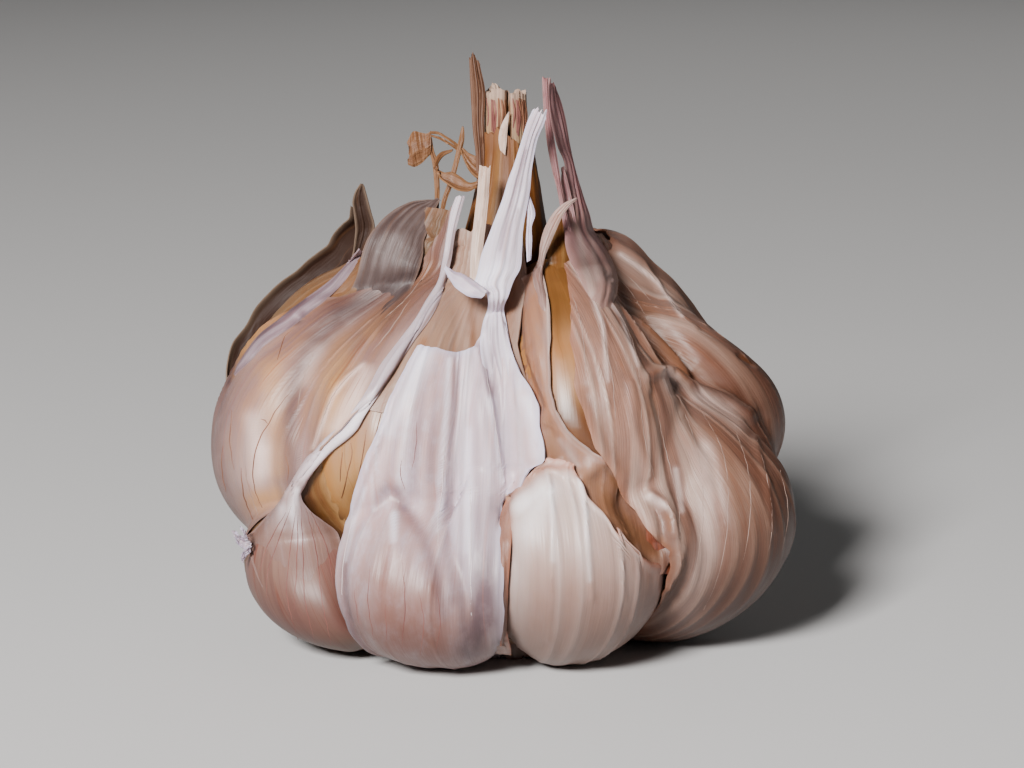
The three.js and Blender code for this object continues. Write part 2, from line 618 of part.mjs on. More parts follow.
// That clove's inner skin, above the tear: it narrows into a dry tail that bends away at the neck.
function frontRightTail() {
  const tail = sheath({
    columns: 6,
    rows: 14,
    left: tailLeftEdge,
    right: tailRightEdge,
    bottom: [[0, 39.3], [0.2, 38.8], [0.42, 36.2], [0.62, 33.2], [0.76, 30.8], [1, 27.2]],
    top: [[0, 62.5], [1, 62.5]],
    neck: looseNeck,
  });
  const tip = strip([
    rooted(19, 59.5, looseNeck, 0, 0.9), rooted(19.5, 61.8, looseNeck, 0.1, 0.8), [3.9, -8.7, 41.4, 0.6],
    [4.7, -8.2, 43.3, 0.45], [5.9, -7.9, 44.8, 0.35], [7.0, -7.7, 45.6, 0.3],
  ], { face: 20, steps: 9, arch: 0.1 });
  return fused(tail, tip);
}
piece('sheath_front_right_tail', frontRightTail(), colours.pinkSkin);

// The inner sheath between the front panel and the neck, with a white strip at its top.
function innerSheath() {
  const cover = sheath({
    columns: 7,
    rows: 8,
    left: shifted(leftRightEdge, edgeGap + 1),
    right: [[46, 7.5], [53.7, 2.8], [58, 5.5], [63.1, 12]],
    bottom: [[0, 46.5], [1, 46.5]],
    top: [[0, 61.5], [0.5, 63], [1, 62]],
    neck: looseNeck,
  });
  const whiteStrip = strip([
    rooted(-15, 58.5, looseNeck, 0, 0.7), rooted(-15.5, 61.5, looseNeck, 0.1, 0.7), [-2.6, -8.0, 42, 0.65],
    [-2.4, -7.6, 45.3, 0.6], [-2.0, -7.2, 49.0, 0.6],
  ], { face: -10, steps: 8 });
  return fused(cover, whiteStrip);
}
piece('sheath_inner_front', innerSheath(), colours.pinkSkin);

// The right sheath wraps the right side and ends in tall torn shards.
function rightSheath() {
  const wrap = sheath({
    columns: 22,
    rows: 20,
    left: rightLeftEdge,
    right: [[9, 148], [70, 148]],
    bottom: [[0, sheathFoot], [1, sheathFoot]],
    top: [[0, 65], [0.25, 67.5], [0.5, 68.5], [0.8, 66.5], [1, 67.5]],
    neck: rightNeck,
    lift: (azimuth) => overlapLift * smooth(azimuth, 128, 137),
  });
  const mainShard = strip([
    rooted(76, 64.5, rightNeck, 0, 1.7), rooted(74, 67, rightNeck, 0.05, 1.4), [6.9, -2.3, 48.8, 1.3],
    [6.1, -2.7, 52.6, 1.35], [5.1, -3.0, 56.3, 0.8],
  ], { face: 62, steps: 9, across: 2, torn: [0.5, 0, -1.2] });
  const thinShard = strip([
    rooted(48, 63.5, rightNeck, 0, 0.6), rooted(48.5, 66, rightNeck, 0.05, 0.5), [5.5, -5.1, 46.8, 0.43],
    [4.9, -4.9, 50.5, 0.4], [4.4, -4.6, 54.5, 0.38], [4.2, -4.4, 57.4, 0.33],
  ], { face: 45, steps: 9 });
  return fused(wrap, mainShard, thinShard);
}
piece('sheath_right', rightSheath(), colours.pinkSkin);

piece('sheath_back', sheath({
  columns: 15,
  rows: 20,
  left: [[9, backLeftEdge], [70, backLeftEdge]],
  right: [[9, backRightEdge], [70, backRightEdge]],
  bottom: [[0, sheathFoot], [1, sheathFoot]],
  top: [[0, 66], [0.15, 72], [0.3, 67], [0.5, 74], [0.62, 69], [0.8, 71], [1, 65]],
  neck: looseNeck,
}), colours.pinkSkin);

// The left sheath: its rear half balloons over the clove tips and gathers into curled strands.
const leftLift = (azimuth, s) => overlapLift * smooth(-azimuth, 119, 126)
  + 2.9 * bump(azimuth, -100, 34) * bump(s, 61.5, 9) + 1.6 * bump(azimuth, -107, 16) * bump(s, 48, 12);

function leftSheath() {
  const wrap = sheath({
    columns: 18,
    rows: 20,
    left: [[9, -134], [70, -134]],
    right: leftRightEdge,
    bottom: [[0, sheathFoot], [1, sheathFoot]],
    top: [[0, 64], [0.2, 66.5], [0.45, 68.5], [0.52, 66.5], [0.6, 67], [1, 69]],
    neck: looseNeck,
    lift: leftLift,
  });
  const strand = strip([
    rooted(-93, 66, looseNeck, leftLift(-93, 66), 0.9), rooted(-94, 67.6, looseNeck, leftLift(-94, 67.6), 0.7),
    [-7.0, 0.8, 46.8, 0.45], [-7.2, 1.0, 49.2, 0.5],
    [-7.7, 1.2, 51.2, 0.6],
  ], { face: -70, steps: 9 });
  const fan = strip([
    [-7.5, 1.1, 50.2, 1.0], [-8.3, 0.7, 50.0, 1.35], [-9.1, 1.1, 49.9, 1.4], [-9.9, 0.7, 49.7, 1.15],
  ], { face: -20, steps: 6, across: 4, arch: 0.1, torn: [0, 0.3, 0.1] });
  const arc = strip([
    [-7.6, 1.0, 51.3, 0.4], [-6.4, 0.6, 51.2, 0.3], [-5.2, 0.0, 50.6, 0.35], [-4.2, -0.6, 49.7, 0.4],
    [-3.6, -1.0, 48.7, 0.35],
  ], { face: 0, steps: 9 });
  const ribbon = strip([
    [-7.0, 0.5, 46.6, 0.5], [-6.4, -1.2, 47.9, 0.45], [-5.6, -2.0, 48.3, 0.4], [-5.0, -2.6, 47.5, 0.45],
    [-4.9, -3.0, 46.4, 0.5],
  ], { face: -30, steps: 9 });
  return fused(wrap, strand, fan, arc, ribbon);
}
piece('sheath_left', leftSheath(), colours.leftSkin);

// The back left sheath's free edge, dried and curled away from the bulb. Each row: s and azimuth of its root,
// and how far its rim stands up and out from there.
function dryFlap() {
  const rootLift = skinThickness + gap + 0.1;
  const columns = 3;
  const route = [
    [40, -98, 0.6, 0.5], [43.5, -100, 1.5, 0.7], [46.5, -102, 1.9, 0.8], [50, -104, 2.1, 0.9], [53, -105, 3.2, 0.9],
    [56, -105, 3.4, 0.5], [58.5, -104, 4.7, 0.2], [61, -102, 6.2, -0.2],
  ];
  const grid = route.map(([s, azimuth, up, out]) => {
    const root = outerPoint(azimuth, s, looseNeck, leftLift(azimuth, s) + rootLift);
    const rim = root.clone().addScaledVector(outwardAt(azimuth), out).add(new THREE.Vector3(0, 1.2, up));
    return Array.from({ length: columns + 1 }, (_, i) => {
      const share = i / columns;
      const p = root.clone().lerp(rim, share);
      return p.addScaledVector(outwardAt(azimuth), 0.4 * Math.sin(Math.PI * share));
    });
  });
  return sheet(grid);
}
piece('sheath_dry_flap', dryFlap(), colours.drySkin);

export default bulb;
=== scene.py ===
import math
import bpy
import numpy as np
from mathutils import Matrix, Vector
from mathutils.bvhtree import BVHTree


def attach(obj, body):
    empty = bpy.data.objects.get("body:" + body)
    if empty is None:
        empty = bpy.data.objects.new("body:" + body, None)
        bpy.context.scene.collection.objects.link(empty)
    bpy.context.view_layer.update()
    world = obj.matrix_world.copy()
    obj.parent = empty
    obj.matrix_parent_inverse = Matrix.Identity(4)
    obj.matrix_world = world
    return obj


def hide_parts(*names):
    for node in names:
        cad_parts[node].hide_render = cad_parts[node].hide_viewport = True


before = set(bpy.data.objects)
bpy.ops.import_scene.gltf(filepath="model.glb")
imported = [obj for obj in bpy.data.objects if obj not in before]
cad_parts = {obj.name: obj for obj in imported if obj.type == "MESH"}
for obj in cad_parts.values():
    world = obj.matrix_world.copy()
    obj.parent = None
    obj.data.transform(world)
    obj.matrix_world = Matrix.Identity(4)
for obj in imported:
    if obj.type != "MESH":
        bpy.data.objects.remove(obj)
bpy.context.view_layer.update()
print("frame loaded:", len(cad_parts), "nodes")

# Shapes are worked out in mm and become metres when a mesh is made. Directions round the bulb are azimuths
# in degrees, 0 at the front (-Y) and 90 at the right (+X). s is the length up the bulb's outline in mm.
metres = 0.001


# small maths on arrays
def clampTo(x, low=0.0, high=1.0):
    return np.minimum(high, np.maximum(low, x))


def mix(a, b, t):
    return a + (b - a) * t


def smoothStep(x, start, end):
    t = clampTo((x - start) / (end - start))
    return t * t * (3 - 2 * t)


def bump(x, middle, halfWidth):
    return smoothStep(halfWidth - np.abs(x - middle), 0, halfWidth)


def smoothMin(a, b, k):
    h = np.maximum(k - np.abs(a - b), 0) / k
    return np.minimum(a, b) - h * h * k / 4


def smoothMax(a, b, k):
    return -smoothMin(-a, -b, k)


def along(rows, x, column=1):
    return np.interp(x, [row[0] for row in rows], [row[column] for row in rows])


def unit(v):
    return v / np.maximum(np.linalg.norm(v, axis=-1, keepdims=True), 1e-9)


def outwardAt(azimuth):
    a = np.radians(azimuth)
    return np.stack([np.sin(a), -np.cos(a), np.zeros_like(a)], -1)


def sidewaysAt(azimuth):
    a = np.radians(azimuth)
    return np.stack([np.cos(a), np.sin(a), np.zeros_like(a)], -1)


def latticeValue(i, j, seed):
    h = np.sin(i * 127.1 + j * 311.7 + seed * 74.7) * 43758.5453
    return (h - np.floor(h)) * 2 - 1


# smooth noise from -1 to 1
def noiseAt(x, y, seed=0):
    x, y = np.asarray(x, float) + 0 * np.asarray(y, float), np.asarray(y, float) + 0 * np.asarray(x, float)
    i, j = np.floor(x), np.floor(y)
    u, v = smoothStep(x - i, 0, 1), smoothStep(y - j, 0, 1)
    low = mix(latticeValue(i, j, seed), latticeValue(i + 1, j, seed), u)
    high = mix(latticeValue(i, j + 1, seed), latticeValue(i + 1, j + 1, seed), u)
    return mix(low, high, v)


def roughNoise(x, y, seed=0, octaves=3):
    return sum(noiseAt(x * 2 ** k, y * 2 ** k, seed + 7 * k) / 2 ** k for k in range(octaves))


# smooth curve through rows of numbers, at shares t of its length
def throughRows(rows, t):
    rows = np.asarray(rows, float)
    steps = np.linalg.norm(np.diff(rows, axis=0), axis=1)
    places = np.concatenate([[0], np.cumsum(steps)]) / steps.sum()
    slopes = np.gradient(rows, places, axis=0)
    k = clampTo(np.searchsorted(places, t, side="right") - 1, 0, len(rows) - 2).astype(int)
    width = (places[k + 1] - places[k])[:, None]
    f = ((t - places[k]) / width[:, 0])[:, None]
    a, b = rows[k], rows[k + 1]
    m, n = slopes[k] * width, slopes[k + 1] * width
    return a + f * m + f * f * (3 * (b - a) - 2 * m - n) + f ** 3 * (2 * (a - b) + m + n)


# ---- the cloves' shapes and the surface that the skins follow, as in the CAD part
cloveSizes = ("azimuth", "z", "spine", "depth", "width", "lean", "foot", "tip")
cloveRows = [
    ("clove_low_left", -58, (0.3, 16.2), (17.2, 21.6, 21.0), 7.2, 8.5, -5.6, 0.36, 0.72),
    ("clove_front_left", -22, (0.2, 19.5), (16.5, 20.8, 18.5), 7.2, 8.5, -3.5, 0.45, 0.72),
    ("clove_front_right", 22.5, (0.2, 21.5), (16.0, 20.2, 18.0), 7.2, 8.3, -1.8, 0.45, 0.5),
    ("clove_low_right", 67, (0.3, 27.5), (16.0, 22.6, 16.0), 9.0, 9.8, 0, 0.42, 0.6),
    ("clove_right", 100, (4.0, 35.5), (10.0, 21.5, 12.0), 8.0, 8.6, 0, 0.6, 0.6),
    ("clove_back_right", 132, (0.6, 41.0), (9.0, 21.0, 8.0), 9.5, 9.5, 0, 0.55, 0.55),
    ("clove_back", 172, (0.4, 38.0), (11.0, 21.5, 9.0), 9.0, 10.5, 0, 0.5, 0.6),
    ("clove_back_left", -133, (0.5, 40.0), (10.0, 21.5, 8.0), 9.0, 10.5, 0, 0.55, 0.55),
    ("clove_left", -92, (2.5, 38.0), (9.0, 20.8, 9.0), 9.5, 10.5, 0, 0.6, 0.6),
    ("clove_inner_left", -43, (2.0, 38.0), (8.0, 17.0, 9.0), 7.5, 8.4, 0, 0.6, 0.6),
    ("clove_inner_right", 35, (3.0, 40.0), (7.0, 15.5, 8.0), 8.0, 9.0, 0, 0.6, 0.6),
    ("clove_inner_front", -4, (3.0, 38.0), (7.0, 11.0, 7.0), 5.5, 6.5, 0, 0.6, 0.6),
]
cloves = {name: dict(zip(cloveSizes, sizes)) for name, *sizes in cloveRows}
lowCloves = ("clove_low_left", "clove_front_left", "clove_front_right")
dentedCloves = ("clove_left", "clove_inner_left", "clove_inner_right", "clove_inner_front")
for name, clove in cloves.items():
    clove["inward"] = 1.0 if name in lowCloves else 1.8


def shrunk(clove, inset):
    low, high = clove["z"]
    return dict(clove, z=(low + inset, high - inset), depth=clove["depth"] - inset, width=clove["width"] - inset)


def sectionShare(clove, t):
    widest = clove["foot"] / (clove["foot"] + clove["tip"])
    most = widest ** clove["foot"] * (1 - widest) ** clove["tip"]
    return t ** clove["foot"] * (1 - t) ** clove["tip"] / most


def spineAt(clove, t):
    foot, middle, tip = clove["spine"]
    bend = 2 * middle - (foot + tip) / 2
    return (1 - t) ** 2 * foot + 2 * t * (1 - t) * bend + t * t * tip, clove["lean"] * t * t


# roughly the distance to the clove's surface, negative inside
def cloveField(clove, p):
    length = clove["z"][1] - clove["z"][0]
    t = (p[..., 2] - clove["z"][0]) / length
    inside = clampTo(t, 0.002, 0.998)
    beyond = np.maximum(0, np.abs(t - 0.5) - 0.498) * length
    share = sectionShare(clove, inside)
    radius, aside = spineAt(clove, inside)
    depth, width = clove["depth"] * share, clove["width"] * share
    turn = math.radians(clove["azimuth"])
    out = p[..., 0] * math.sin(turn) - p[..., 1] * math.cos(turn) - radius
    across = out / np.where(out < 0, depth * clove["inward"], depth)
    beside = (p[..., 0] * math.cos(turn) + p[..., 1] * math.sin(turn) - aside) / width
    return (np.hypot(across, beside) - 1) * np.sqrt(depth * width) + beyond


outer = {
    "rayReach": 46,
    "rayStep": 0.66,
    "cloveBlend": 1.5,
    "neckBlend": 4.0,
    "bridgeSpans": (7, 14),
    "bridgeSag": 0.5,
    "stepDegrees": 1.0,
    "stepS": 0.75,
    "floorGap": 0.2,
}
# s, radius and height of the outline there, height on the axis that its ray starts from
sideGuide = [
    (0, 6, 0, 14), (8, 14, 0, 13), (16, 21, 3, 13), (24, 26, 9.5, 14), (34, 27, 19, 16), (44, 24, 28.5, 18),
    (52, 19, 34.5, 20), (58, 14, 38, 23), (63, 10, 41, 29), (68, 7.5, 45, 38), (74, 6.5, 51, 48), (83, 5.5, 60, 59),
]
looseNeck = [(30, 13.5), (36, 10.2), (39, 8.4), (42, 7.3), (46, 6.4), (50, 5.9), (56, 5.6), (64, 5.4)]
rightNeck = [(30, 14), (36, 11.2), (39, 9.9), (42, 8.9), (46, 7.7), (50, 6.6), (54, 5.5), (60, 4.4)]


class OuterSurface:
    def __init__(self, neck):
        self.azimuths = np.arange(-180, 180, outer["stepDegrees"])
        self.lengths = np.arange(0, 83, outer["stepS"])
        azimuth, s = np.meshgrid(self.azimuths, self.lengths, indexing="ij")
        start = np.zeros(azimuth.shape + (3,))
        start[..., 2] = along(sideGuide, s, 3)
        direction = outwardAt(azimuth) * along(sideGuide, s)[..., None]
        direction[..., 2] = along(sideGuide, s, 2) - start[..., 2]
        likely = np.linalg.norm(direction, axis=-1)
        direction = unit(direction)

        def fieldOf(rays, distance):
            p = start[rays] + direction[rays] * distance[:, None]
            nearest = (np.hypot(p[:, 0], p[:, 1]) - along(neck, p[:, 2])) * 0.8
            blend = outer["neckBlend"]
            for clove in cloves.values():
                nearest = smoothMin(cloveField(clove, p), nearest, blend)
                blend = outer["cloveBlend"]
            return nearest

        outside = np.minimum(likely + 9, outer["rayReach"])
        todo = np.ones(azimuth.shape, bool)
        while todo.any():
            clear = fieldOf(todo, outside[todo] - outer["rayStep"]) > 0
            clear &= outside[todo] > 2 * outer["rayStep"]
            rays = np.argwhere(todo)
            moving, still = rays[clear], rays[~clear]
            outside[moving[:, 0], moving[:, 1]] -= outer["rayStep"]
            todo[still[:, 0], still[:, 1]] = False
        whole = np.ones(azimuth.shape, bool)
        low, high = (outside - outer["rayStep"]).ravel(), outside.ravel()
        for _ in range(10):
            middle = (low + high) / 2
            clear = fieldOf(whole, middle) > 0
            high = np.where(clear, middle, high)
            low = np.where(clear, low, middle)
        self.packed = low.reshape(azimuth.shape)
        reach = self.packed.copy()
        for span in outer["bridgeSpans"]:
            shift = int(round(span / outer["stepDegrees"]))
            left, right = np.roll(self.packed, shift, 0), np.roll(self.packed, -shift, 0)
            chord = 2 * left * right * math.cos(math.radians(span)) / (left + right)
            reach = smoothMax(reach, chord - outer["bridgeSag"], 0.8)
        self.points = start + direction * reach[..., None]
        self.standoff = (reach - self.packed)[..., None]
        aside = np.roll(self.points, -1, 0) - np.roll(self.points, 1, 0)
        self.normals = unit(np.cross(aside, np.gradient(self.points, axis=1)))

    # cubic reading of a table over azimuth and s
    def read(self, table, azimuth, s):
        a = (np.asarray(azimuth, float) + 180) / outer["stepDegrees"]
        b = clampTo(np.asarray(s, float) / outer["stepS"], 0, len(self.lengths) - 1.001)
        i, j = np.floor(a).astype(int), np.floor(b).astype(int)

        def weights(f):
            f = f[..., None]
            return [
                ((2 - f) * f - 1) * f / 2, (f * f * (3 * f - 5) + 2) / 2,
                ((4 - 3 * f) * f + 1) * f / 2, (f - 1) * f * f / 2,
            ]

        across, up = weights(a - i), weights(b - j)
        total = 0
        for m in range(4):
            column = (i + m - 1) % len(self.azimuths)
            for n in range(4):
                row = np.clip(j + n - 1, 0, len(self.lengths) - 1)
                total = total + table[column, row] * across[m] * up[n]
        return total

    def at(self, azimuth, s, lift=0.0):
        azimuth, s = np.broadcast_arrays(np.asarray(azimuth, float), np.asarray(s, float))
        p = self.read(self.points, azimuth, s)
        p = p + unit(self.read(self.normals, azimuth, s)) * np.broadcast_to(lift, azimuth.shape)[..., None]
        p[..., 2] = np.maximum(p[..., 2], outer["floorGap"])
        return p


looseSurface = OuterSurface(looseNeck)
rightSurface = OuterSurface(rightNeck)
print("outer surface ready")


# ---- the camera comes early, because some dry blades are placed by where they show in its view
view = {
    "elevation": 12.0,
    "distance": 350.0,
    "target": (0.8, 0.0, 25.5),
    "pixelsPerMm": 9.7,
    "width": 1024,
    "height": 768,
    "sensor": 36.0,
}
tilt = math.radians(view["elevation"])
viewBack = np.array([0, -math.cos(tilt), math.sin(tilt)])
viewUp = np.array([0, math.sin(tilt), math.cos(tilt)])
viewPlace = np.array(view["target"]) + viewBack * view["distance"]
focalPixels = view["pixelsPerMm"] * view["distance"]


# point at depth y behind the pixel (x right, y down) of the view
def behindPixel(px, py, y):
    ray = -viewBack + viewUp * (view["height"] / 2 - py) / focalPixels
    ray = ray + np.array([1.0, 0, 0]) * (px - view["width"] / 2) / focalPixels
    return viewPlace + ray * (y - viewPlace[1]) / ray[1]


def toPixels(p):
    d = np.asarray(p, float) - viewPlace
    depth = d @ -viewBack
    x = view["width"] / 2 + focalPixels * d[..., 0] / depth
    return np.stack([x, view["height"] / 2 - focalPixels * (d @ viewUp) / depth], -1)


frontAzimuths, frontLengths = np.meshgrid(np.arange(-88, 89, 1.0), np.arange(10, 76, 0.5), indexing="ij")
surfaces = {"loose": looseSurface, "right": rightSurface}
frontPoints = {key: surface.at(frontAzimuths, frontLengths) for key, surface in surfaces.items()}
frontPixels = {key: toPixels(p) for key, p in frontPoints.items()}


# azimuth and s of the bulb's surface behind a pixel
def placeBehind(px, py, side="loose"):
    apart = np.hypot(frontPixels[side][..., 0] - px, frontPixels[side][..., 1] - py)
    apart = apart + 0.15 * frontPoints[side][..., 1]
    found = np.unravel_index(np.argmin(apart), apart.shape)
    azimuth, s = frontAzimuths[found], frontLengths[found]
    for _ in range(2):
        here = toPixels(surfaces[side].at(azimuth + np.array([0, 0.5, 0]), s + np.array([0, 0, 0.5])))
        steps = np.stack([here[1] - here[0], here[2] - here[0]], 1) / 0.5
        if abs(np.linalg.det(steps)) < 4:
            break
        move = np.clip(np.linalg.solve(steps, np.array([px, py]) - here[0]), -1, 1)
        azimuth, s = azimuth + move[0], s + move[1]
    return azimuth, s


# point on the bulb behind a pixel, raised by lift
def onBulb(px, py, lift=0.0, side="loose"):
    return behindPixel(px, py, surfaces[side].at(*placeBehind(px, py, side), lift)[1])


# an edge drawn in the view, as rows of s and azimuth
def viewEdge(path, side="loose", below=(), above=()):
    rows = [placeBehind(px, py, side)[::-1] for px, py in path]
    return list(below) + sorted((float(s), float(azimuth)) for s, azimuth in rows) + list(above)


# a top or bottom edge drawn in the view, as rows of the share u of the way from left to right and s
def viewTop(path, left, right, side="loose", start=(), end=()):
    rows = []
    for px, py in path:
        azimuth, s = placeBehind(px, py, side)
        first, last = along(left, s), along(right, s)
        rows.append((float((azimuth - first) / (last - first)), float(s)))
    return list(start) + sorted(row for row in rows if 0 < row[0] < 1) + list(end)


# sum of the strokes at points p: each stroke is a list of rows of x, y, strength and half width in the view
def strokesAt(strokes, p, normals=None):
    pixels = toPixels(p)
    total = np.zeros(p.shape[:-1])
    for stroke in strokes:
        rows = np.array(stroke, float)
        nearest = np.full(total.shape, 1e9)
        strength, half = np.zeros(total.shape), np.ones(total.shape)
        for a, b in zip(rows[:-1], rows[1:]):
            step = b[:2] - a[:2]
            f = clampTo(((pixels - a[:2]) @ step) / (step @ step))
            off = pixels - a[:2] - f[..., None] * step
            apart = np.hypot(off[..., 0], off[..., 1])
            closer = apart < nearest
            nearest = np.where(closer, apart, nearest)
            strength = np.where(closer, a[2] + f * (b[2] - a[2]), strength)
            half = np.where(closer, a[3] + f * (b[3] - a[3]), half)
        total = total + strength * np.exp(-((nearest / half) ** 2))
    if normals is not None:
        total = total * smoothStep(normals @ viewBack, -0.05, 0.2)
    return total


# ---- meshes
sharpDegrees = 50
# how points are moved beneath the sheets that cover them, and how far a rim's colour reaches in, in mm
tuck = {"reach": 4.0, "fadeFrom": 2.6, "fadeOver": 2.4, "gap": 0.3, "cloveGap": 0.25}
rimWidth = {"skin": 1.2, "blade": 0.35, "flap": 0.4}
closeWithin = 1.1  # a clove this near shows through its skin
mapPerDegree = 0.45  # how far a skin's pattern runs for each degree round the bulb


def makeObject(name, points, faces, uv=None, masks=None):
    mesh = bpy.data.meshes.new(name)
    mesh.from_pydata((np.asarray(points) * metres).tolist(), [], faces)
    mesh.validate()
    for key, values in (masks or {}).items():
        mesh.attributes.new(key, "FLOAT", "POINT").data.foreach_set("value", np.asarray(values, np.float32).ravel())
    if uv is not None:
        corners = np.zeros(len(mesh.loops), int)
        mesh.loops.foreach_get("vertex_index", corners)
        layer = mesh.uv_layers.new(name="skinMap")
        layer.data.foreach_set("uv", np.asarray(uv, np.float32).reshape(-1, 2)[corners].ravel())
    mesh.shade_smooth()
    mesh.set_sharp_from_angle(angle=math.radians(sharpDegrees))
    thing = bpy.data.objects.new(name, mesh)
    bpy.context.scene.collection.objects.link(thing)
    return thing


# a closed thin sheet from a grid of points on its outer face
def sheetFaces(height, width):
    index = np.arange(height * width).reshape(height, width)
    a, b, c, d = index[:-1, :-1], index[:-1, 1:], index[1:, 1:], index[1:, :-1]
    front = np.stack([a, b, c, d], -1).reshape(-1, 4)
    back = front[:, ::-1] + height * width
    ring = np.concatenate([index[0, :-1], index[:-1, -1], index[-1, :0:-1], index[:0:-1, 0]])
    after = np.roll(ring, -1)
    wall = np.stack([after, ring, ring + height * width, after + height * width], -1)
    return np.concatenate([front, back, wall]).tolist()


def innerFace(grid, thickness):
    aside = np.gradient(grid, axis=1)
    up = np.gradient(grid, axis=0)
    normal = unit(np.cross(aside, up))
    return grid - normal * np.broadcast_to(thickness, grid.shape[:2])[..., None]


outerGrids, searchTrees = {}, {}


# search tree over the outer face of a sheet made before
def treeOf(name):
    if name not in searchTrees:
        grid = outerGrids[name]
        index = np.arange(grid.shape[0] * grid.shape[1]).reshape(grid.shape[:2])
        quads = np.stack([index[:-1, :-1], index[:-1, 1:], index[1:, 1:], index[1:, :-1]], -1).reshape(-1, 4)
        searchTrees[name] = BVHTree.FromPolygons(grid.reshape(-1, 3).tolist(), quads.tolist())
    return searchTrees[name]


# the same points, but those that would stand out of the named sheets moved to gap beneath them; beside an edge the
# points follow less and less, so that no step is left
def tuckedUnder(points, names, gap):
    flat = points.reshape(-1, 3).copy()
    for name in names:
        tree = treeOf(name)
        for k, p in enumerate(flat):
            place, normal, _, distance = tree.find_nearest(Vector(p), tuck["reach"])
            if place is None:
                continue
            place, normal = np.array(place), np.array(normal)
            out = (p - place) @ normal
            aside = math.sqrt(max(distance ** 2 - out ** 2, 0))
            if out > -gap:
                share = clampTo((tuck["fadeFrom"] - aside) / tuck["fadeOver"]) * clampTo(tuck["reach"] - out)
                flat[k] = p - normal * (out + gap) * share * share * (3 - 2 * share)
    return flat.reshape(points.shape)


def makeSheet(name, grid, thickness, uv, masks):
    height, width = grid.shape[:2]
    outerGrids[name] = grid
    points = np.concatenate([grid.reshape(-1, 3), innerFace(grid, thickness).reshape(-1, 3)])
    doubled = {key: np.concatenate([np.broadcast_to(m, (height, width)).ravel()] * 2) for key, m in masks.items()}
    flat = np.concatenate([uv.reshape(-1, 2)] * 2)
    return makeObject(name, points, sheetFaces(height, width), flat, doubled)


# ---- skins: thin sheets that follow the outer surface between two edges
# left and right give an edge's azimuth by s, bottom and top give s by the share u of the way from left to right
def skinPlaces(spec):
    u = np.linspace(0, 1, spec["columns"] + 1)[None, :]
    v = np.linspace(0, 1, spec["rows"] + 1)[:, None]
    torn = spec["torn"] * roughNoise(u * spec["tearsAcross"], 0 * u, spec["seed"], 4)
    s = mix(along(spec["bottom"], u), along(spec["top"], u) + torn, v)
    left = along(spec["left"], s) + spec["fray"] * roughNoise(s / 3.5, 0 * s, spec["seed"] + 1)
    right = along(spec["right"], s) + spec["fray"] * roughNoise(s / 3.5, 0 * s, spec["seed"] + 2)
    azimuth = mix(left, right, u)
    return azimuth, s, u + 0 * v, v + 0 * u


# fine raised ribs that run up the skin and meet at the neck
def ribLift(azimuth, s, spacing, seed):
    wander = azimuth + 2.2 * noiseAt(azimuth / 14, s / 22, seed)
    line = 1 - np.abs(noiseAt(wander / spacing, s / 60, seed + 3)) * 3.2
    return clampTo(line) ** 1.5


def makeSkin(name, spec, surface, lift):
    azimuth, s, u, v = skinPlaces(spec)
    ribs = ribLift(azimuth, s, spec["ribSpacing"], spec["seed"])
    crumple = roughNoise(azimuth / 6.5, s / 11, spec["seed"] + 11, 3)
    fine = roughNoise(azimuth / 1.6, s / 9, spec["seed"] + 17, 2)
    raised = lift(azimuth, s, u, v) + spec["ribHeight"] * ribs + spec["crumple"] * crumple + spec["fine"] * fine
    standoff = surface.read(surface.standoff, azimuth, s)[..., 0]
    if "hug" in spec:
        raised = raised - spec["hug"](azimuth, s, u, v) * standoff
    if "relief" in spec:
        normals = unit(surface.read(surface.normals, azimuth, s))
        raised = raised + strokesAt(spec["relief"], surface.at(azimuth, s), normals)
    grid = surface.at(azimuth, s, raised)
    if "under" in spec:
        grid = tuckedUnder(grid, spec["under"], tuck["gap"])
    width = np.linalg.norm(np.gradient(grid, axis=1), axis=-1) * spec["columns"]
    height = np.linalg.norm(np.gradient(grid, axis=0), axis=-1) * spec["rows"]
    rim = np.minimum(np.minimum(u, 1 - u) * width, (1 - v) * height)
    uv = np.stack([azimuth * mapPerDegree, s], -1)
    masks = {"rim": clampTo(1 - rim / rimWidth["skin"]), "rib": ribs, "close": clampTo(1 - standoff / closeWithin)}
    # the dark strokes are partly painted shade in valleys, folds, hollows and at edges that turn away, and partly dark
    # lines; the light strokes are partly painted highlights on tips and crests, and partly pale ribs
    for key in ("warm", "dark", "light"):
        masks[key] = clampTo(strokesAt(spec.get(key, []), grid))
    return makeSheet(name, grid, spec["thickness"], uv, masks)


sheathFoot = 6.8
frontLeftEdge = [
    (9, -40), (14, -38), (20.9, -36.5), (25.6, -39.5), (30, -40.6), (38.8, -33.5), (45.7, -30.8), (51.3, -29.2),
    (54, -28.5), (55.6, -22.7), (57.5, -10.9),
]
frontRightEdge = viewEdge(
    [(504, 610), (503, 570), (501, 530), (504, 504), (510, 494), (523, 488), (526, 477), (532, 469), (546, 462),
     (545, 450), (540, 425), (540, 405), (532, 387), (521, 367), (512, 350), (508, 332)],
    below=[(9, -1.5), (16, -0.8)], above=[(57.5, -0.8)])
rightLeftEdge = viewEdge(
    [(655, 535), (648, 528), (637, 510), (622, 494), (616, 481), (604, 462), (594, 448), (588, 427), (579, 400),
     (573, 385), (573, 355), (570, 338), (572, 318), (571, 300), (568, 286), (564, 267)],
    "right", below=[(9, 47), (13.6, 46), (22.1, 38.5), (25.8, 38.6), (28, 38)],
    above=[(63, 38), (66.1, 43), (70, 46)])
tailRightEdge = viewEdge(
    [(676, 560), (672, 540), (660, 518), (646, 500), (634, 484), (620, 470), (607, 460), (592, 452), (580, 443),
     (567, 430), (557, 410), (551, 387), (549, 360), (551, 340), (551, 320), (547, 292), (543, 275)],
    below=[(20, 44)], above=[(63.1, 24)])
tailLeftEdge = [
    (26.2, 6), (34, 7.5), (38.2, 9.5), (41, 8.5), (46, 6.5), (53.7, 1), (58, 5), (63.1, 12),
]
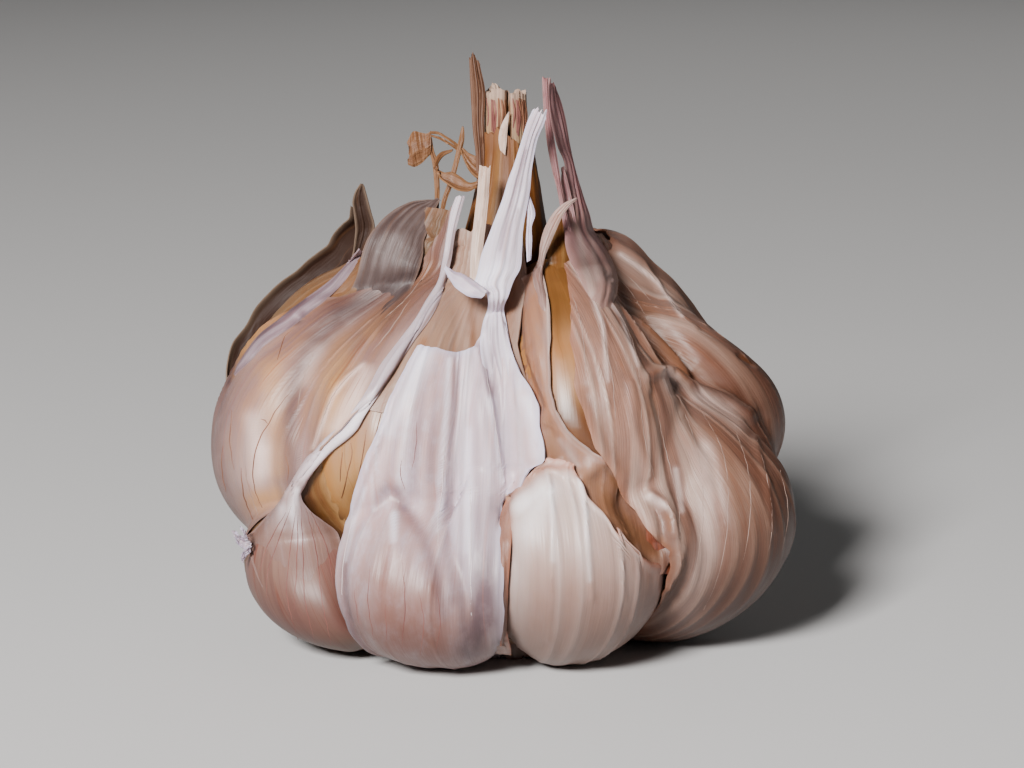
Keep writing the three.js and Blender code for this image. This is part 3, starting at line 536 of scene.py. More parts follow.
leftRightEdge = [
    (9, -82), (15, -81), (19.6, -80), (23, -77.5), (28.2, -68.5), (33, -58.6), (37, -49.5), (40.5, -41.2),
    (44.5, -35.6), (48.1, -33), (54, -33), (59.2, -34.5), (62.5, -41), (65.8, -47.2), (70, -49.4),
]


def shifted(edge, by):
    return [(s, azimuth + by) for s, azimuth in edge]


frontSkinSpec = {
    "columns": 90, "rows": 130, "left": frontLeftEdge, "right": frontRightEdge,
    "bottom": [(0, sheathFoot), (1, sheathFoot)],
    "top": [(0, 51.3), (0.25, 51.8), (0.42, 52.8), (0.52, 53.4), (0.585, 57.2), (1, 57.5)], "torn": 0.12,
    "tearsAcross": 14, "fray": 0.3, "seed": 3, "ribSpacing": 2.6, "ribHeight": 0.1, "crumple": 0.14, "fine": 0.03,
    "thickness": 0.16, "hug": lambda azimuth, s, u, v: 0.95 * smoothStep(u, 0.6, 0.9) * (1 - smoothStep(s, 12, 20)),
    "relief": [
        [(394, 511, 0.3, 5), (394, 524, 0.5, 9), (394, 545, 0.35, 14)],
        [(388, 492, -0.4, 9), (398, 498, -0.45, 9), (410, 512, -0.35, 9), (424, 536, -0.3, 9), (433, 560, -0.25, 9),
         (440, 600, -0.15, 9)],
        [(360, 520, -0.1, 10), (378, 505, -0.3, 9), (388, 495, -0.4, 8)],
        [(486, 345, -0.7, 9), (492, 385, -0.8, 10), (500, 430, -0.6, 12), (512, 470, -0.4, 10)],
        [(449, 360, 0.18, 2.5), (446, 410, 0.2, 2.5), (443, 450, 0.2, 2.5), (440, 520, 0.12, 2.5)],
        [(470, 470, 0.12, 2.5), (470, 530, 0.18, 2.5), (470, 610, 0.15, 2.5)],
        [(478, 350, 0.3, 3), (490, 400, 0.4, 3.5), (498, 450, 0.35, 3.5), (503, 484, 0.2, 3)],
        [(520, 378, 0.25, 5), (530, 420, 0.3, 6), (534, 455, 0.2, 6)],
    ],
    "warm": [
        [(392, 535, 0.6, 24), (384, 580, 0.95, 32), (392, 630, 0.95, 40)],
        [(430, 590, 0.5, 16), (436, 650, 0.7, 20)],
        [(430, 420, 0.25, 5), (432, 470, 0.4, 6), (432, 540, 0.4, 6)],
        [(390, 470, 0.2, 8), (395, 495, 0.9, 7), (400, 503, 0.8, 6), (424, 538, 0.5, 7), (438, 590, 0.4, 8)],
        [(412, 460, 0.1, 4), (418, 430, 0.35, 4), (420, 405, 0.1, 4)],
    ],
    # dark strokes: painted shade in the fold valley, round the tip of the clove beneath, along its crease and low down,
    # and darker grooves between the ribs
    "dark": [
        [(484, 345, 0.5, 8), (490, 385, 0.8, 9), (499, 430, 0.6, 10), (508, 465, 0.3, 10)],
        [(374, 512, 0.4, 6), (386, 494, 0.7, 7), (396, 492, 0.9, 7), (404, 506, 0.7, 6)],
        [(406, 508, 0.6, 5), (424, 536, 0.6, 6), (436, 576, 0.55, 6), (443, 615, 0.4, 6)],
        [(455, 370, 0.25, 4), (452, 450, 0.5, 4), (448, 520, 0.5, 5), (452, 600, 0.5, 7)],
        [(478, 380, 0.2, 3), (477, 450, 0.4, 4), (478, 530, 0.55, 5), (478, 620, 0.7, 9), (470, 648, 0.7, 12)],
        [(463, 380, 0.2, 2.5), (462, 470, 0.4, 2.5), (461, 560, 0.45, 3), (462, 630, 0.45, 4)],
        [(424, 370, 0.3, 5), (420, 410, 0.5, 6), (414, 450, 0.55, 7), (412, 490, 0.5, 6)],
        [(436, 366, 0.3, 3), (433, 420, 0.4, 4), (430, 480, 0.4, 4)],
        [(398, 420, 0.2, 4), (392, 455, 0.35, 5), (388, 480, 0.3, 5)],
        [(490, 500, 0.3, 5), (490, 560, 0.5, 8), (488, 620, 0.6, 10)],
        [(345, 560, 0.3, 7), (344, 600, 0.5, 8), (354, 640, 0.6, 10)],
        [(376, 450, 0.2, 3), (364, 486, 0.35, 3), (352, 520, 0.35, 3), (345, 570, 0.35, 3), (350, 620, 0.3, 3)],
        [(490, 560, 0.2, 12), (488, 620, 0.5, 14), (470, 650, 0.5, 16)],
    ],
    # light strokes: painted highlights on the tip of the clove beneath and over the upper panel, and pale ribs and rim
    # lines
    "light": [
        [(394, 514, 0.9, 3), (394, 540, 0.6, 4)],
        [(424, 352, 0.9, 9), (410, 385, 0.7, 8), (388, 430, 0.4, 8)],
        [(528, 400, 0.5, 8), (536, 430, 0.5, 8), (538, 455, 0.4, 8)],
        [(449, 360, 0.6, 2.6), (446, 410, 0.6, 2.6), (442, 470, 0.6, 2.6), (438, 530, 0.5, 2.6)],
        [(469, 430, 0.4, 4), (468, 490, 0.6, 5), (468, 550, 0.5, 5)],
        [(492, 400, 0.5, 4), (500, 450, 0.6, 4), (503, 482, 0.5, 3)],
        [(366, 486, 0.5, 2.5), (354, 520, 0.5, 2.5), (346, 560, 0.4, 2.5)],
    ],
}


def frontLift(azimuth, s, u, v):
    overInner = mix(0.12, 0.5, smoothStep(s, 39, 46))
    leftRim = 0.25 * bump(u, 0.03, 0.035)
    return overInner + leftRim


frontSkin = makeSkin("front_skin", frontSkinSpec, looseSurface, frontLift)


# how closely the skin over the right clove hugs it
def cloveSkinHug(azimuth, s, u, v):
    hug = mix(1, 0.35, smoothStep(s, 12, 22))
    hug = mix(hug, 1, smoothStep(u, 0.06, 0.24))
    hug = mix(hug, 0.35, bump(u, 0.5, 0.42))
    return mix(hug, 0.2, smoothStep(s, 30, 35))


cloveSkinSpec = {
    "columns": 90, "rows": 80, "left": shifted(frontRightEdge, -3), "right": shifted(rightLeftEdge, 4),
    "bottom": [(0, sheathFoot), (1, sheathFoot)],
    "top": viewTop(
        [(499, 500), (505, 495), (512, 485), (519, 479), (524, 469), (534, 461), (546, 458), (560, 460), (575, 463),
         (579, 476), (587, 494), (600, 509), (614, 520), (622, 541), (640, 555), (654, 563)],
        shifted(frontRightEdge, -3), shifted(rightLeftEdge, 4), start=[(0, 33)], end=[(1, 25)]),
    "torn": 0.12, "tearsAcross": 12, "fray": 0.12, "seed": 21, "ribSpacing": 4.6, "ribHeight": 0.16, "crumple": 0.06,
    "fine": 0.02, "thickness": 0.18, "hug": cloveSkinHug,
    "relief": [
        [(550, 478, 0.3, 2.5), (552, 530, 0.3, 3), (552, 590, 0.25, 3), (548, 640, 0.15, 3)],
        [(576, 470, 0.35, 3), (584, 500, 0.35, 3), (588, 540, 0.3, 3), (592, 600, 0.2, 3)],
        [(617, 534, 0.08, 3), (622, 560, 0.12, 3), (625, 600, 0.1, 3)],
        [(514, 505, 0.35, 4), (513, 530, 0.25, 4), (511, 570, 0.1, 3)],
        [(506, 500, -0.15, 4), (507, 540, -0.12, 4), (507, 640, -0.1, 3)],
        [(527, 483, -0.35, 5), (533, 474, -0.35, 5), (546, 469, -0.15, 4)],
        [(545, 481, 0.35, 7), (552, 479, 0.25, 6)],
    ],
    "warm": [
        [(507, 500, 0.9, 8), (507, 540, 0.9, 7), (506, 580, 0.7, 4), (506, 640, 0.6, 2.5)],
        [(507, 500, 0.9, 5), (516, 491, 0.9, 5), (527, 484, 0.9, 6), (532, 474, 0.9, 5), (546, 467, 0.9, 4),
         (575, 467, 0.6, 3)],
        [(545, 600, 0.25, 30), (590, 590, 0.35, 35)],
    ],
    # dark strokes: painted shade along the seam with the front panel and low on the right
    "dark": [
        [(505, 520, 0.5, 2), (505, 640, 0.5, 1.6)],
        [(640, 560, 0.3, 12), (648, 600, 0.5, 12), (630, 640, 0.4, 12)],
    ],
    # light strokes: a painted highlight on the upper left of the clove, and pale ribs
    "light": [
        [(520, 505, 0.8, 9), (545, 490, 0.7, 12), (530, 530, 0.5, 14)],
        [(552, 490, 0.5, 3), (553, 560, 0.4, 3)],
        [(577, 472, 0.6, 3), (586, 510, 0.6, 3), (590, 580, 0.4, 3)],
    ],
}


def cloveSkinLift(azimuth, s, u, v):
    edge = 0.22 * smoothStep(v, 0.93, 0.985) - 0.25 * smoothStep(v, 0.985, 1.0)
    return edge - 0.05 - 0.6 * (1 - smoothStep(u, 0.02, 0.11)) - 0.3 * smoothStep(u, 0.9, 1.0)


tailSkinSpec = {
    "under": ["front_skin"], "columns": 50, "rows": 110, "left": tailLeftEdge, "right": tailRightEdge,
    "bottom": [(0, 33), (0.25, 33), (0.5, 28.8), (0.8, 24.6), (0.9, 25.3), (1, 27.2)], "top": [(0, 62.0), (1, 62.0)],
    "torn": 0.2, "tearsAcross": 6, "fray": 0.25, "seed": 31, "ribSpacing": 2.2, "ribHeight": 0.09, "crumple": 0.1,
    "fine": 0.02, "thickness": 0.16,
    "relief": [
        [(516, 285, -0.9, 7), (514, 320, -1.1, 7), (517, 355, -1.0, 7), (526, 375, -0.7, 7), (540, 405, -0.5, 7)],
        [(536, 280, 0.3, 9), (536, 330, 0.45, 11), (538, 370, 0.4, 10), (552, 415, 0.3, 9)],
        [(548, 300, 0.3, 3), (550, 350, 0.4, 3), (553, 395, 0.4, 3), (566, 425, 0.4, 4), (592, 450, 0.35, 4),
         (616, 474, 0.3, 4)],
        [(580, 482, 0.5, 9), (590, 472, 0.6, 9), (602, 462, 0.5, 9)],
        [(548, 430, -0.3, 6), (560, 455, -0.35, 8)],
        [(634, 500, -0.8, 10), (650, 525, -0.9, 10), (662, 545, -0.9, 10)],
    ],
    "warm": [
        [(516, 280, 0.7, 6), (515, 330, 0.9, 6), (519, 360, 0.9, 5), (530, 385, 0.6, 6)],
        [(548, 420, 0.5, 6), (551, 450, 0.9, 8), (560, 465, 0.7, 8)],
        [(590, 480, 0.7, 12), (610, 505, 1.0, 14), (630, 530, 1.0, 14), (655, 555, 1.0, 12)],
        [(604, 466, 0.8, 3), (622, 490, 1.0, 5)],
    ],
    # dark strokes: painted shade in the valley beside the white blade and in the hollows low on the right
    "dark": [
        [(519, 300, 0.5, 3), (518, 345, 0.8, 3.5), (524, 368, 0.7, 4)],
        [(630, 505, 0.4, 8), (655, 545, 0.5, 8)],
        [(670, 556, 0.9, 6), (668, 574, 0.9, 7), (664, 590, 0.9, 6)],
    ],
    "light": [
        [(547, 290, 0.8, 2.5), (550, 350, 0.9, 2.5), (552, 390, 0.9, 3), (565, 426, 0.9, 3), (595, 454, 0.7, 3)],
        [(560, 440, 0.5, 3), (578, 465, 0.6, 3)],
    ],
}


def tailLift(azimuth, s, u, v):
    return -0.75 + 0.7 * smoothStep(s, 37, 44) - 0.35 * smoothStep(u, 0.7, 1.0) * (1 - smoothStep(s, 36, 42))


innerSkinSpec = {
    "under": ["front_skin", "left_skin"], "columns": 60, "rows": 60, "left": shifted(leftRightEdge, -3),
    "right": [(46, 7.5), (53.7, 5), (58, 8), (63.1, 15)], "bottom": [(0, 43), (1, 43)],
    "top": [(0, 66), (0.5, 67), (1, 66)], "torn": 0.3, "tearsAcross": 6, "fray": 0.2, "seed": 41, "ribSpacing": 2.4,
    "ribHeight": 0.08, "crumple": 0.12, "fine": 0.02, "thickness": 0.16,
    # dark strokes: painted shade beside and under the white blade
    "dark": [
        [(510, 280, 0.6, 7), (511, 310, 0.7, 7), (516, 345, 0.7, 7), (526, 380, 0.6, 8)],
        [(474, 345, 0.9, 4), (472, 325, 0.6, 4), (472, 290, 0.5, 5)],
        [(412, 385, 0.5, 3), (402, 410, 0.5, 3)],
    ],
    "warm": [[(424, 340, 0.5, 4), (412, 370, 0.6, 4), (398, 405, 0.6, 5)]],
}

rightSkinSpec = {
    "columns": 210, "rows": 190, "left": rightLeftEdge, "right": [(9, 148), (70, 148)],
    "bottom": [(0, sheathFoot), (1, sheathFoot)],
    "top": [(0, 62), (0.1, 62.5), (0.25, 61.5), (0.5, 60.5), (0.8, 60.5), (1, 60.5)], "torn": 0.2, "tearsAcross": 12,
    "fray": 0.4, "seed": 51, "ribSpacing": 3.2, "ribHeight": 0.12, "crumple": 0.16, "fine": 0.035, "thickness": 0.16,
    "hug": lambda azimuth, s, u, v: 0.9 * (1 - smoothStep(u, 0.02, 0.14)) * smoothStep(30 - s, 0, 12),
    "relief": [
        [(612, 262, -0.1, 8), (624, 282, -0.5, 10), (640, 305, -1.1, 16), (656, 332, -1.4, 18), (672, 356, -1.4, 14),
         (690, 374, -1.1, 10), (712, 385, -0.8, 10), (740, 402, -0.4, 10)],
        [(648, 376, 0.3, 6), (664, 368, 0.9, 5), (680, 366, 0.9, 5), (692, 380, 0.9, 6), (706, 388, 0.8, 7),
         (730, 398, 0.8, 9), (746, 414, 0.7, 10)],
        [(652, 395, -0.3, 4), (660, 430, -0.3, 5), (668, 467, -0.25, 5), (678, 505, -0.3, 4), (682, 540, -0.2, 4)],
        [(630, 385, 0.25, 5), (634, 430, 0.3, 6), (648, 475, 0.3, 6)],
        [(676, 400, 0.3, 6), (690, 440, 0.3, 8), (700, 480, 0.2, 9)],
        [(684, 420, -0.2, 4), (712, 460, -0.2, 4), (722, 520, -0.15, 4)],
        [(566, 255, 0.12, 4), (577, 272, 0.14, 4), (592, 295, 0.14, 4), (602, 320, 0.14, 4), (606, 355, 0.12, 4),
         (609, 405, 0.08, 4)],
        [(572, 258, 0.12, 4), (597, 285, 0.14, 4), (620, 315, 0.14, 4), (632, 340, 0.12, 4), (639, 370, 0.08, 4)],
        [(580, 245, 0.12, 4), (600, 267, 0.14, 4), (625, 286, 0.12, 4), (640, 308, 0.08, 4)],
        [(600, 240, 0.3, 3), (620, 254, 0.4, 3), (642, 266, 0.4, 3), (657, 281, 0.4, 3), (670, 300, 0.35, 3),
         (682, 316, 0.3, 3), (696, 328, 0.2, 3)],
        [(650, 495, 0.4, 4), (662, 503, 0.5, 4), (670, 518, 0.5, 4), (673, 535, 0.4, 4)],
        [(655, 505, -0.5, 5), (662, 520, -0.6, 6), (664, 538, -0.7, 6)],
        [(664, 550, -1.2, 7), (666, 560, -1.0, 7)],
        [(681, 558, 0.5, 3.5), (680, 575, 0.5, 4), (672, 593, 0.4, 5)],
        [(672, 562, -0.8, 7), (668, 585, -0.9, 7), (658, 605, -0.5, 7)],
        [(754, 440, 0.25, 3), (766, 480, 0.25, 3), (771, 530, 0.2, 3)],
        [(588, 395, -0.35, 8), (600, 425, -0.4, 9), (622, 462, -0.3, 9)],
        [(740, 356, -0.3, 3), (752, 364, -0.3, 3)],
    ],
    "warm": [
        [(640, 305, 0.4, 9), (656, 332, 0.7, 12), (670, 356, 0.8, 9), (688, 372, 0.6, 7)],
        [(662, 540, 0.6, 4), (665, 552, 1.0, 5)],
        [(712, 430, 0.3, 12), (725, 460, 0.45, 14), (735, 500, 0.3, 12)],
        [(741, 357, 1.0, 2), (756, 366, 0.9, 1.8)],
        [(769, 420, 0.7, 2), (770, 440, 0.7, 2)],
        [(578, 350, 0.4, 9), (580, 390, 0.3, 9)],
        [(655, 365, 0.5, 6), (668, 372, 0.4, 5)],
        [(668, 513, 0.7, 2), (671, 530, 0.7, 2)],
        [(650, 385, 0.3, 8), (650, 410, 0.3, 8)],
    ],
    # dark strokes: painted shade in the valleys, in the hollows by the clove skin and along the far right edge
    "dark": [
        [(628, 288, 0.1, 9), (645, 310, 0.6, 13), (660, 338, 0.8, 14), (676, 358, 0.55, 9), (702, 380, 0.5, 9),
         (735, 392, 0.6, 12), (758, 410, 0.5, 12)],
        [(590, 400, 0.4, 7), (604, 430, 0.5, 9), (624, 468, 0.3, 9)],
        [(672, 565, 0.6, 6), (668, 590, 0.6, 6)],
        [(660, 548, 0.5, 3), (663, 560, 0.5, 3)],
        [(788, 500, 0.4, 22), (782, 560, 0.4, 22)],
    ],
    # light strokes: painted highlights on the crest and down the middle of the lower lobe, and pale ribs
    "light": [
        [(667, 373, 0.5, 6), (672, 386, 0.3, 7)],
        [(700, 395, 0.5, 8), (730, 412, 0.5, 9), (740, 425, 0.4, 8)],
        [(705, 450, 0.5, 10), (712, 500, 0.6, 12), (708, 560, 0.5, 14), (690, 610, 0.4, 14)],
        [(566, 255, 0.6, 2), (592, 295, 0.7, 2), (603, 325, 0.6, 2), (608, 380, 0.4, 2)],
        [(572, 258, 0.6, 2), (597, 285, 0.7, 2), (622, 318, 0.7, 2), (638, 365, 0.4, 2)],
        [(620, 254, 0.7, 2), (657, 281, 0.8, 2), (682, 316, 0.6, 2)],
        [(650, 497, 0.5, 4), (664, 506, 0.6, 3)],
        [(676, 470, 0.5, 3), (682, 510, 0.5, 3)],
    ],
}


def rightLift(azimuth, s, u, v):
    overBack = 0.45 * smoothStep(azimuth, 128, 140)
    slimmer = -1.1 * bump(azimuth, 90, 34) * bump(s, 25, 9) - 0.5 * bump(azimuth, 100, 20) * bump(s, 53, 6)
    hump = 1.1 * bump(azimuth, 124, 24) * bump(s, 58.5, 5.5) - 0.9 * bump(azimuth, 110, 26) * bump(s, 45, 6.5)
    return overBack + slimmer + hump


rightSkin = makeSkin("right_skin", rightSkinSpec, rightSurface, rightLift)

backSkinSpec = {
    "under": ["right_skin", "left_skin"], "columns": 160, "rows": 150, "left": [(9, 132), (70, 132)],
    "right": [(9, 240), (70, 240)], "bottom": [(0, sheathFoot), (1, sheathFoot)],
    "top": [(0, 60), (0.15, 61), (0.3, 60), (0.5, 61.5), (0.62, 61), (0.8, 62), (1, 61)], "torn": 0.25,
    "tearsAcross": 12, "fray": 0.4, "seed": 61, "ribSpacing": 3.0, "ribHeight": 0.12, "crumple": 0.16, "fine": 0.035,
    "thickness": 0.16,
}


# how far the left skin stands off over the clove tips
def ballooned(azimuth, s):
    lobe = 4.2 * bump(azimuth, -94, 34) * bump(s, 63, 9) + 1.8 * bump(azimuth, -98, 32) * bump(s, 55, 9)
    shoulder = 1.9 * bump(azimuth, -104, 26) * bump(s, 48, 10) + 1.2 * bump(azimuth, -90, 34) * bump(s, 27, 9)
    return 0.45 * smoothStep(-azimuth, 119, 128) + lobe + shoulder


shoulderSpec = {
    "under": ["left_skin"], "columns": 110, "rows": 110, "left": [(9, -134), (70, -134)],
    "right": [(9, -60), (70, -60)], "bottom": [(0, sheathFoot), (1, sheathFoot)],
    "top": [(0, 64), (0.3, 66.5), (0.6, 67.5), (1, 68)], "torn": 0.1, "tearsAcross": 6, "fray": 0.3, "seed": 71,
    "ribSpacing": 3.0, "ribHeight": 0.1, "crumple": 0.14, "fine": 0.03, "thickness": 0.16,
}

leftSkinSpec = {
    "columns": 150, "rows": 170, "left": [(9, -131), (30, -131), (70, -131)], "right": leftRightEdge,
    "bottom": [(0, sheathFoot), (1, sheathFoot)],
    "top": [(0, 29), (0.1, 33), (0.25, 39), (0.34, 42), (0.42, 47), (0.5, 53), (0.58, 58), (0.68, 62.5), (0.8, 65),
            (0.9, 67), (1, 69)],
    "torn": 0.02, "tearsAcross": 12, "fray": 0.0, "seed": 81, "ribSpacing": 5.0, "ribHeight": 0.12, "crumple": 0.15,
    "fine": 0.035, "thickness": 0.16,
    "relief": [
        [(430, 262, -0.3, 9), (402, 282, -0.6, 11), (372, 302, -0.9, 12), (345, 322, -1.1, 13), (325, 342, -0.9, 15),
         (309, 366, -0.85, 15), (300, 395, -0.9, 14), (297, 428, -0.9, 12), (301, 462, -0.7, 11),
         (308, 490, -0.4, 10)],
        [(335, 390, 0.35, 20), (345, 420, 0.45, 22), (335, 450, 0.3, 18)],
        [(262, 370, 0.4, 22), (252, 420, 0.5, 24), (250, 470, 0.3, 22)],
        [(340, 296, -0.4, 10), (370, 280, -0.5, 10), (400, 262, -0.3, 10)],
        [(313, 448, 0.18, 2.5), (323, 420, 0.2, 2.5), (333, 396, 0.22, 2.5), (349, 376, 0.2, 2.5),
         (363, 364, 0.15, 2.5), (374, 366, 0.12, 2.5), (375, 380, 0.12, 2.5), (365, 400, 0.1, 2.5)],
        [(301, 321, 0.5, 4), (279, 326, 0.4, 4), (262, 336, 0.3, 4), (243, 356, 0.2, 4)],
        [(360, 276, 0.3, 4), (366, 252, 0.4, 5), (380, 230, 0.4, 5), (395, 214, 0.3, 5)],
    ],
    "warm": [
        [(345, 345, 0.5, 16), (335, 380, 0.8, 20), (340, 420, 0.9, 20), (335, 448, 0.7, 14)],
        [(370, 330, 0.5, 12), (400, 300, 0.4, 12), (425, 265, 0.4, 12)],
        [(272, 370, 0.45, 14), (274, 420, 0.5, 12), (278, 470, 0.6, 12)],
        [(258, 500, 0.8, 12), (275, 495, 0.7, 10)],
        [(436, 205, 0.8, 6), (430, 222, 0.7, 6), (420, 240, 0.6, 7)],
        [(328, 280, 0.6, 5), (300, 301, 0.9, 6), (276, 314, 1.0, 8), (259, 327, 1.0, 8), (244, 347, 0.9, 6),
         (232, 376, 0.7, 4)],
    ],
    # dark strokes: painted shade in the valley between the lobes, below the upper lobe and along the left edge, and
    # thin dark vein lines
    "dark": [
        [(402, 276, 0.6, 12), (372, 296, 0.85, 16), (340, 314, 0.9, 17), (318, 338, 0.8, 14), (301, 370, 0.75, 10),
         (292, 402, 0.7, 10), (289, 440, 0.7, 11), (290, 478, 0.6, 11)],
        [(420, 262, 0.5, 9), (400, 300, 0.5, 9), (384, 330, 0.35, 8)],
        [(238, 366, 0.5, 12), (224, 398, 0.65, 12), (215, 440, 0.7, 12), (219, 480, 0.7, 13), (232, 520, 0.6, 13)],
        [(300, 322, 0.9, 2.5), (279, 327, 0.8, 2), (261, 337, 0.7, 2), (243, 357, 0.5, 2)],
        [(335, 271, 0.7, 2), (309, 290, 0.8, 2), (291, 298, 0.8, 2), (262, 316, 0.8, 2), (246, 336, 0.8, 2),
         (234, 362, 0.7, 2), (228, 384, 0.6, 2)],
    ],
    # light strokes: painted highlights on the two lobes, and pale rib lines
    "light": [
        [(366, 372, 0.6, 8), (352, 400, 0.8, 10), (338, 428, 0.7, 10)],
        [(252, 418, 0.35, 9), (258, 440, 0.5, 9), (262, 470, 0.4, 8)],
        [(313, 448, 0.6, 2.2), (333, 396, 0.7, 2.2), (349, 376, 0.6, 2.2), (363, 364, 0.5, 2.2)],
        [(316, 352, 0.25, 9), (306, 380, 0.25, 9)],
        [(262, 450, 0.4, 10), (258, 480, 0.35, 10)],
        [(430, 310, 0.4, 8), (400, 345, 0.4, 8), (385, 370, 0.4, 6)],
    ],
}


def leftLift(azimuth, s, u, v):
    return ballooned(azimuth, s) * smoothStep(-azimuth, 40, 60)


leftSkin = makeSkin("left_skin", leftSkinSpec, looseSurface, leftLift)
frontRightSkin = makeSkin("front_right_skin", cloveSkinSpec, looseSurface, cloveSkinLift)
tailSkin = makeSkin("front_right_tail", tailSkinSpec, looseSurface, tailLift)
innerSkin = makeSkin("inner_front_skin", innerSkinSpec, looseSurface, lambda azimuth, s, u, v: -0.28 + 0 * s)
backSkin = makeSkin("back_skin", backSkinSpec, looseSurface, lambda azimuth, s, u, v: 0 * s)
shoulderSkin = makeSkin(
    "left_shoulder_skin", shoulderSpec, looseSurface, lambda azimuth, s, u, v: ballooned(azimuth, s) - 0.35)
print("skins done")


# ---- cloves, pressed flat where they meet
packing = {"flankGap": 0.3, "blend": 0.9, "stemRadius": 2.6, "plateRadius": 9.6, "plateHeight": 5.0, "airGap": 0.3}


def packedField(name, inset, p):
    clove = cloves[name]
    whole = cloveField(clove, p)
    field = cloveField(shrunk(clove, inset), p)
    for other, neighbour in cloves.items():
        apart = abs((neighbour["azimuth"] - clove["azimuth"] + 540) % 360 - 180)
        behind = (name in lowCloves and other in dentedCloves) or (name in dentedCloves and other in lowCloves)
        if other == name or apart > 100 or (behind and name in lowCloves):
            continue
        if behind:
            dent = 0.15 - cloveField(neighbour, p)
            field = smoothMax(field, dent, 1.0)
            continue
        press = (whole - cloveField(neighbour, p) + packing["flankGap"]) / 2
        field = smoothMax(field, press, packing["blend"])
    radius = np.hypot(p[..., 0], p[..., 1])
    field = smoothMax(field, packing["airGap"] - (radius - packing["stemRadius"]), 0.5)
    plate = (np.hypot(radius / packing["plateRadius"], p[..., 2] / packing["plateHeight"]) - 1) * packing["plateHeight"]
    return smoothMax(field, packing["airGap"] - plate, 0.5)


# the inner left clove gives way low down, in mm, so that a pocket opens beside it
pocket = {
    "clove": "clove_inner_left", "inward": 1.1, "inwardHeights": (15.5, 24), "aside": 2.9, "asideHeights": (18.5, 9),
    "smooth": 8,
}
coveringSkins = ("front_skin", "front_right_skin", "right_skin", "left_skin", "front_right_tail", "inner_front_skin")


def makeClove(name, inset, rows=70, columns=84, relief=0.0, seed=0):
    clove = shrunk(cloves[name], inset)
    t = 0.5 - 0.5 * np.cos(math.pi * np.arange(1, rows) / rows)[:, None]
    turn = 2 * math.pi * np.arange(columns)[None, :] / columns
    radius, aside = spineAt(clove, t)
    share = sectionShare(clove, t)
    outward, sideways = outwardAt(clove["azimuth"]), sidewaysAt(clove["azimuth"])
    middle = outward * radius[..., None] + sideways * (aside + 0 * radius)[..., None]
    middle[..., 2] = mix(clove["z"][0], clove["z"][1], t)
    ray = outward * (np.cos(turn) * clove["depth"] * share)[..., None]
    ray = ray + sideways * (np.sin(turn) * clove["width"] * share)[..., None]
    middle = middle + 0 * ray
    steps = 1.25 * clove["inward"] * np.arange(0, 41) / 40
    low, high = np.zeros(ray.shape[:2]), np.full(ray.shape[:2], steps[-1])
    inside = np.ones(ray.shape[:2], bool)
    for step, after in zip(steps[:-1], steps[1:]):
        out = inside & (packedField(name, inset, middle + ray * after) > 0)
        high = np.where(out, after, high)
        low = np.where(out, step, low)
        inside &= ~out
    low = np.where(inside, steps[-1] - 0.01, low)
    for _ in range(9):
        half = (low + high) / 2
        out = packedField(name, inset, middle + ray * half[..., None]) > 0
        high, low = np.where(out, half, high), np.where(out, low, half)
    ring = middle + ray * np.maximum(low, 0.06)[..., None]
    if name == pocket["clove"]:
        sunk = 1 - smoothStep(ring[..., 2], *pocket["inwardHeights"])
        ring = ring - outward * (pocket["inward"] * sunk)[..., None]
        beside = smoothStep(-((ring - middle) @ sideways), 0.5, 4.5) * smoothStep((ring - middle) @ outward, -4, 1)
        ring = ring - sideways * (pocket["aside"] * beside * bump(ring[..., 2], *pocket["asideHeights"]))[..., None]
        for _ in range(pocket["smooth"]):
            padded = np.pad(ring, ((1, 1), (0, 0), (0, 0)), mode="edge")
            ring = (padded[:-2] + padded[2:] + np.roll(ring, 1, 1) + np.roll(ring, -1, 1)) / 4
    covers = [skin for skin in coveringSkins if skin != "front_skin" or name != pocket["clove"]]
    ring = tuckedUnder(ring, covers, tuck["cloveGap"])
    if relief:
        ridges = ribLift(np.degrees(turn) + 0 * t, 30 * t + 0 * turn, 17, seed)
        ring = ring + unit(ray) * (relief * ridges * np.sin(math.pi * t))[..., None]
    outerGrids[name] = np.concatenate([ring, ring[:, :1]], 1)
    index = np.arange((rows - 1) * columns).reshape(rows - 1, columns)
    after = np.roll(index, -1, 1)
    quads = np.stack([index[:-1], after[:-1], after[1:], index[1:]], -1).reshape(-1, 4).tolist()
    foot, tip = ring[0].mean(0), ring[-1].mean(0)
    foot[2], tip[2] = clove["z"]
    points = np.concatenate([ring.reshape(-1, 3), [foot, tip]])
    last = len(points) - 2
    quads += [[last, int(b), int(a)] for a, b in zip(index[0], after[0])]
    quads += [[last + 1, int(a), int(b)] for a, b in zip(index[-1], after[-1])]
    bent = (np.degrees(turn) + 180) % 360 - 180
    uv = np.stack([bent * 0.14 + 0 * t, clove["z"][1] * t + 0 * turn], -1).reshape(-1, 2)
    uv = np.concatenate([uv, [[0, 0], [0, clove["z"][1]]]])
    up = np.concatenate([(t + 0 * turn).ravel(), [0, 1]])
    shadow = clampTo(strokesAt(cloveShadows.get(name, []), points))
    return makeObject(name + "_body", points, quads, uv, {"height": up, "dark": shadow})


cloveShadows = {
    "clove_inner_left": [[(306, 486, 1.0, 6), (316, 500, 1.0, 9), (330, 514, 1.0, 10), (345, 527, 1.0, 10)]],
    "clove_inner_right": [[(570, 410, 0.5, 12), (590, 440, 0.9, 14), (604, 465, 1.0, 14)]],
}
cloveInsets = {
    "clove_low_left": 0.05, "clove_inner_left": 0.35, "clove_inner_right": 0.3, "clove_inner_front": 0.5,
    "clove_front_left": 0.5, "clove_front_right": 0.5,
}
cloveBodies = {}
for number, name in enumerate(cloves):
    visible = name in ("clove_low_left", "clove_inner_left", "clove_inner_right")
    cloveBodies[name] = makeClove(name, cloveInsets.get(name, 0.6), relief=0.12 if visible else 0.05, seed=number)
print("cloves done")


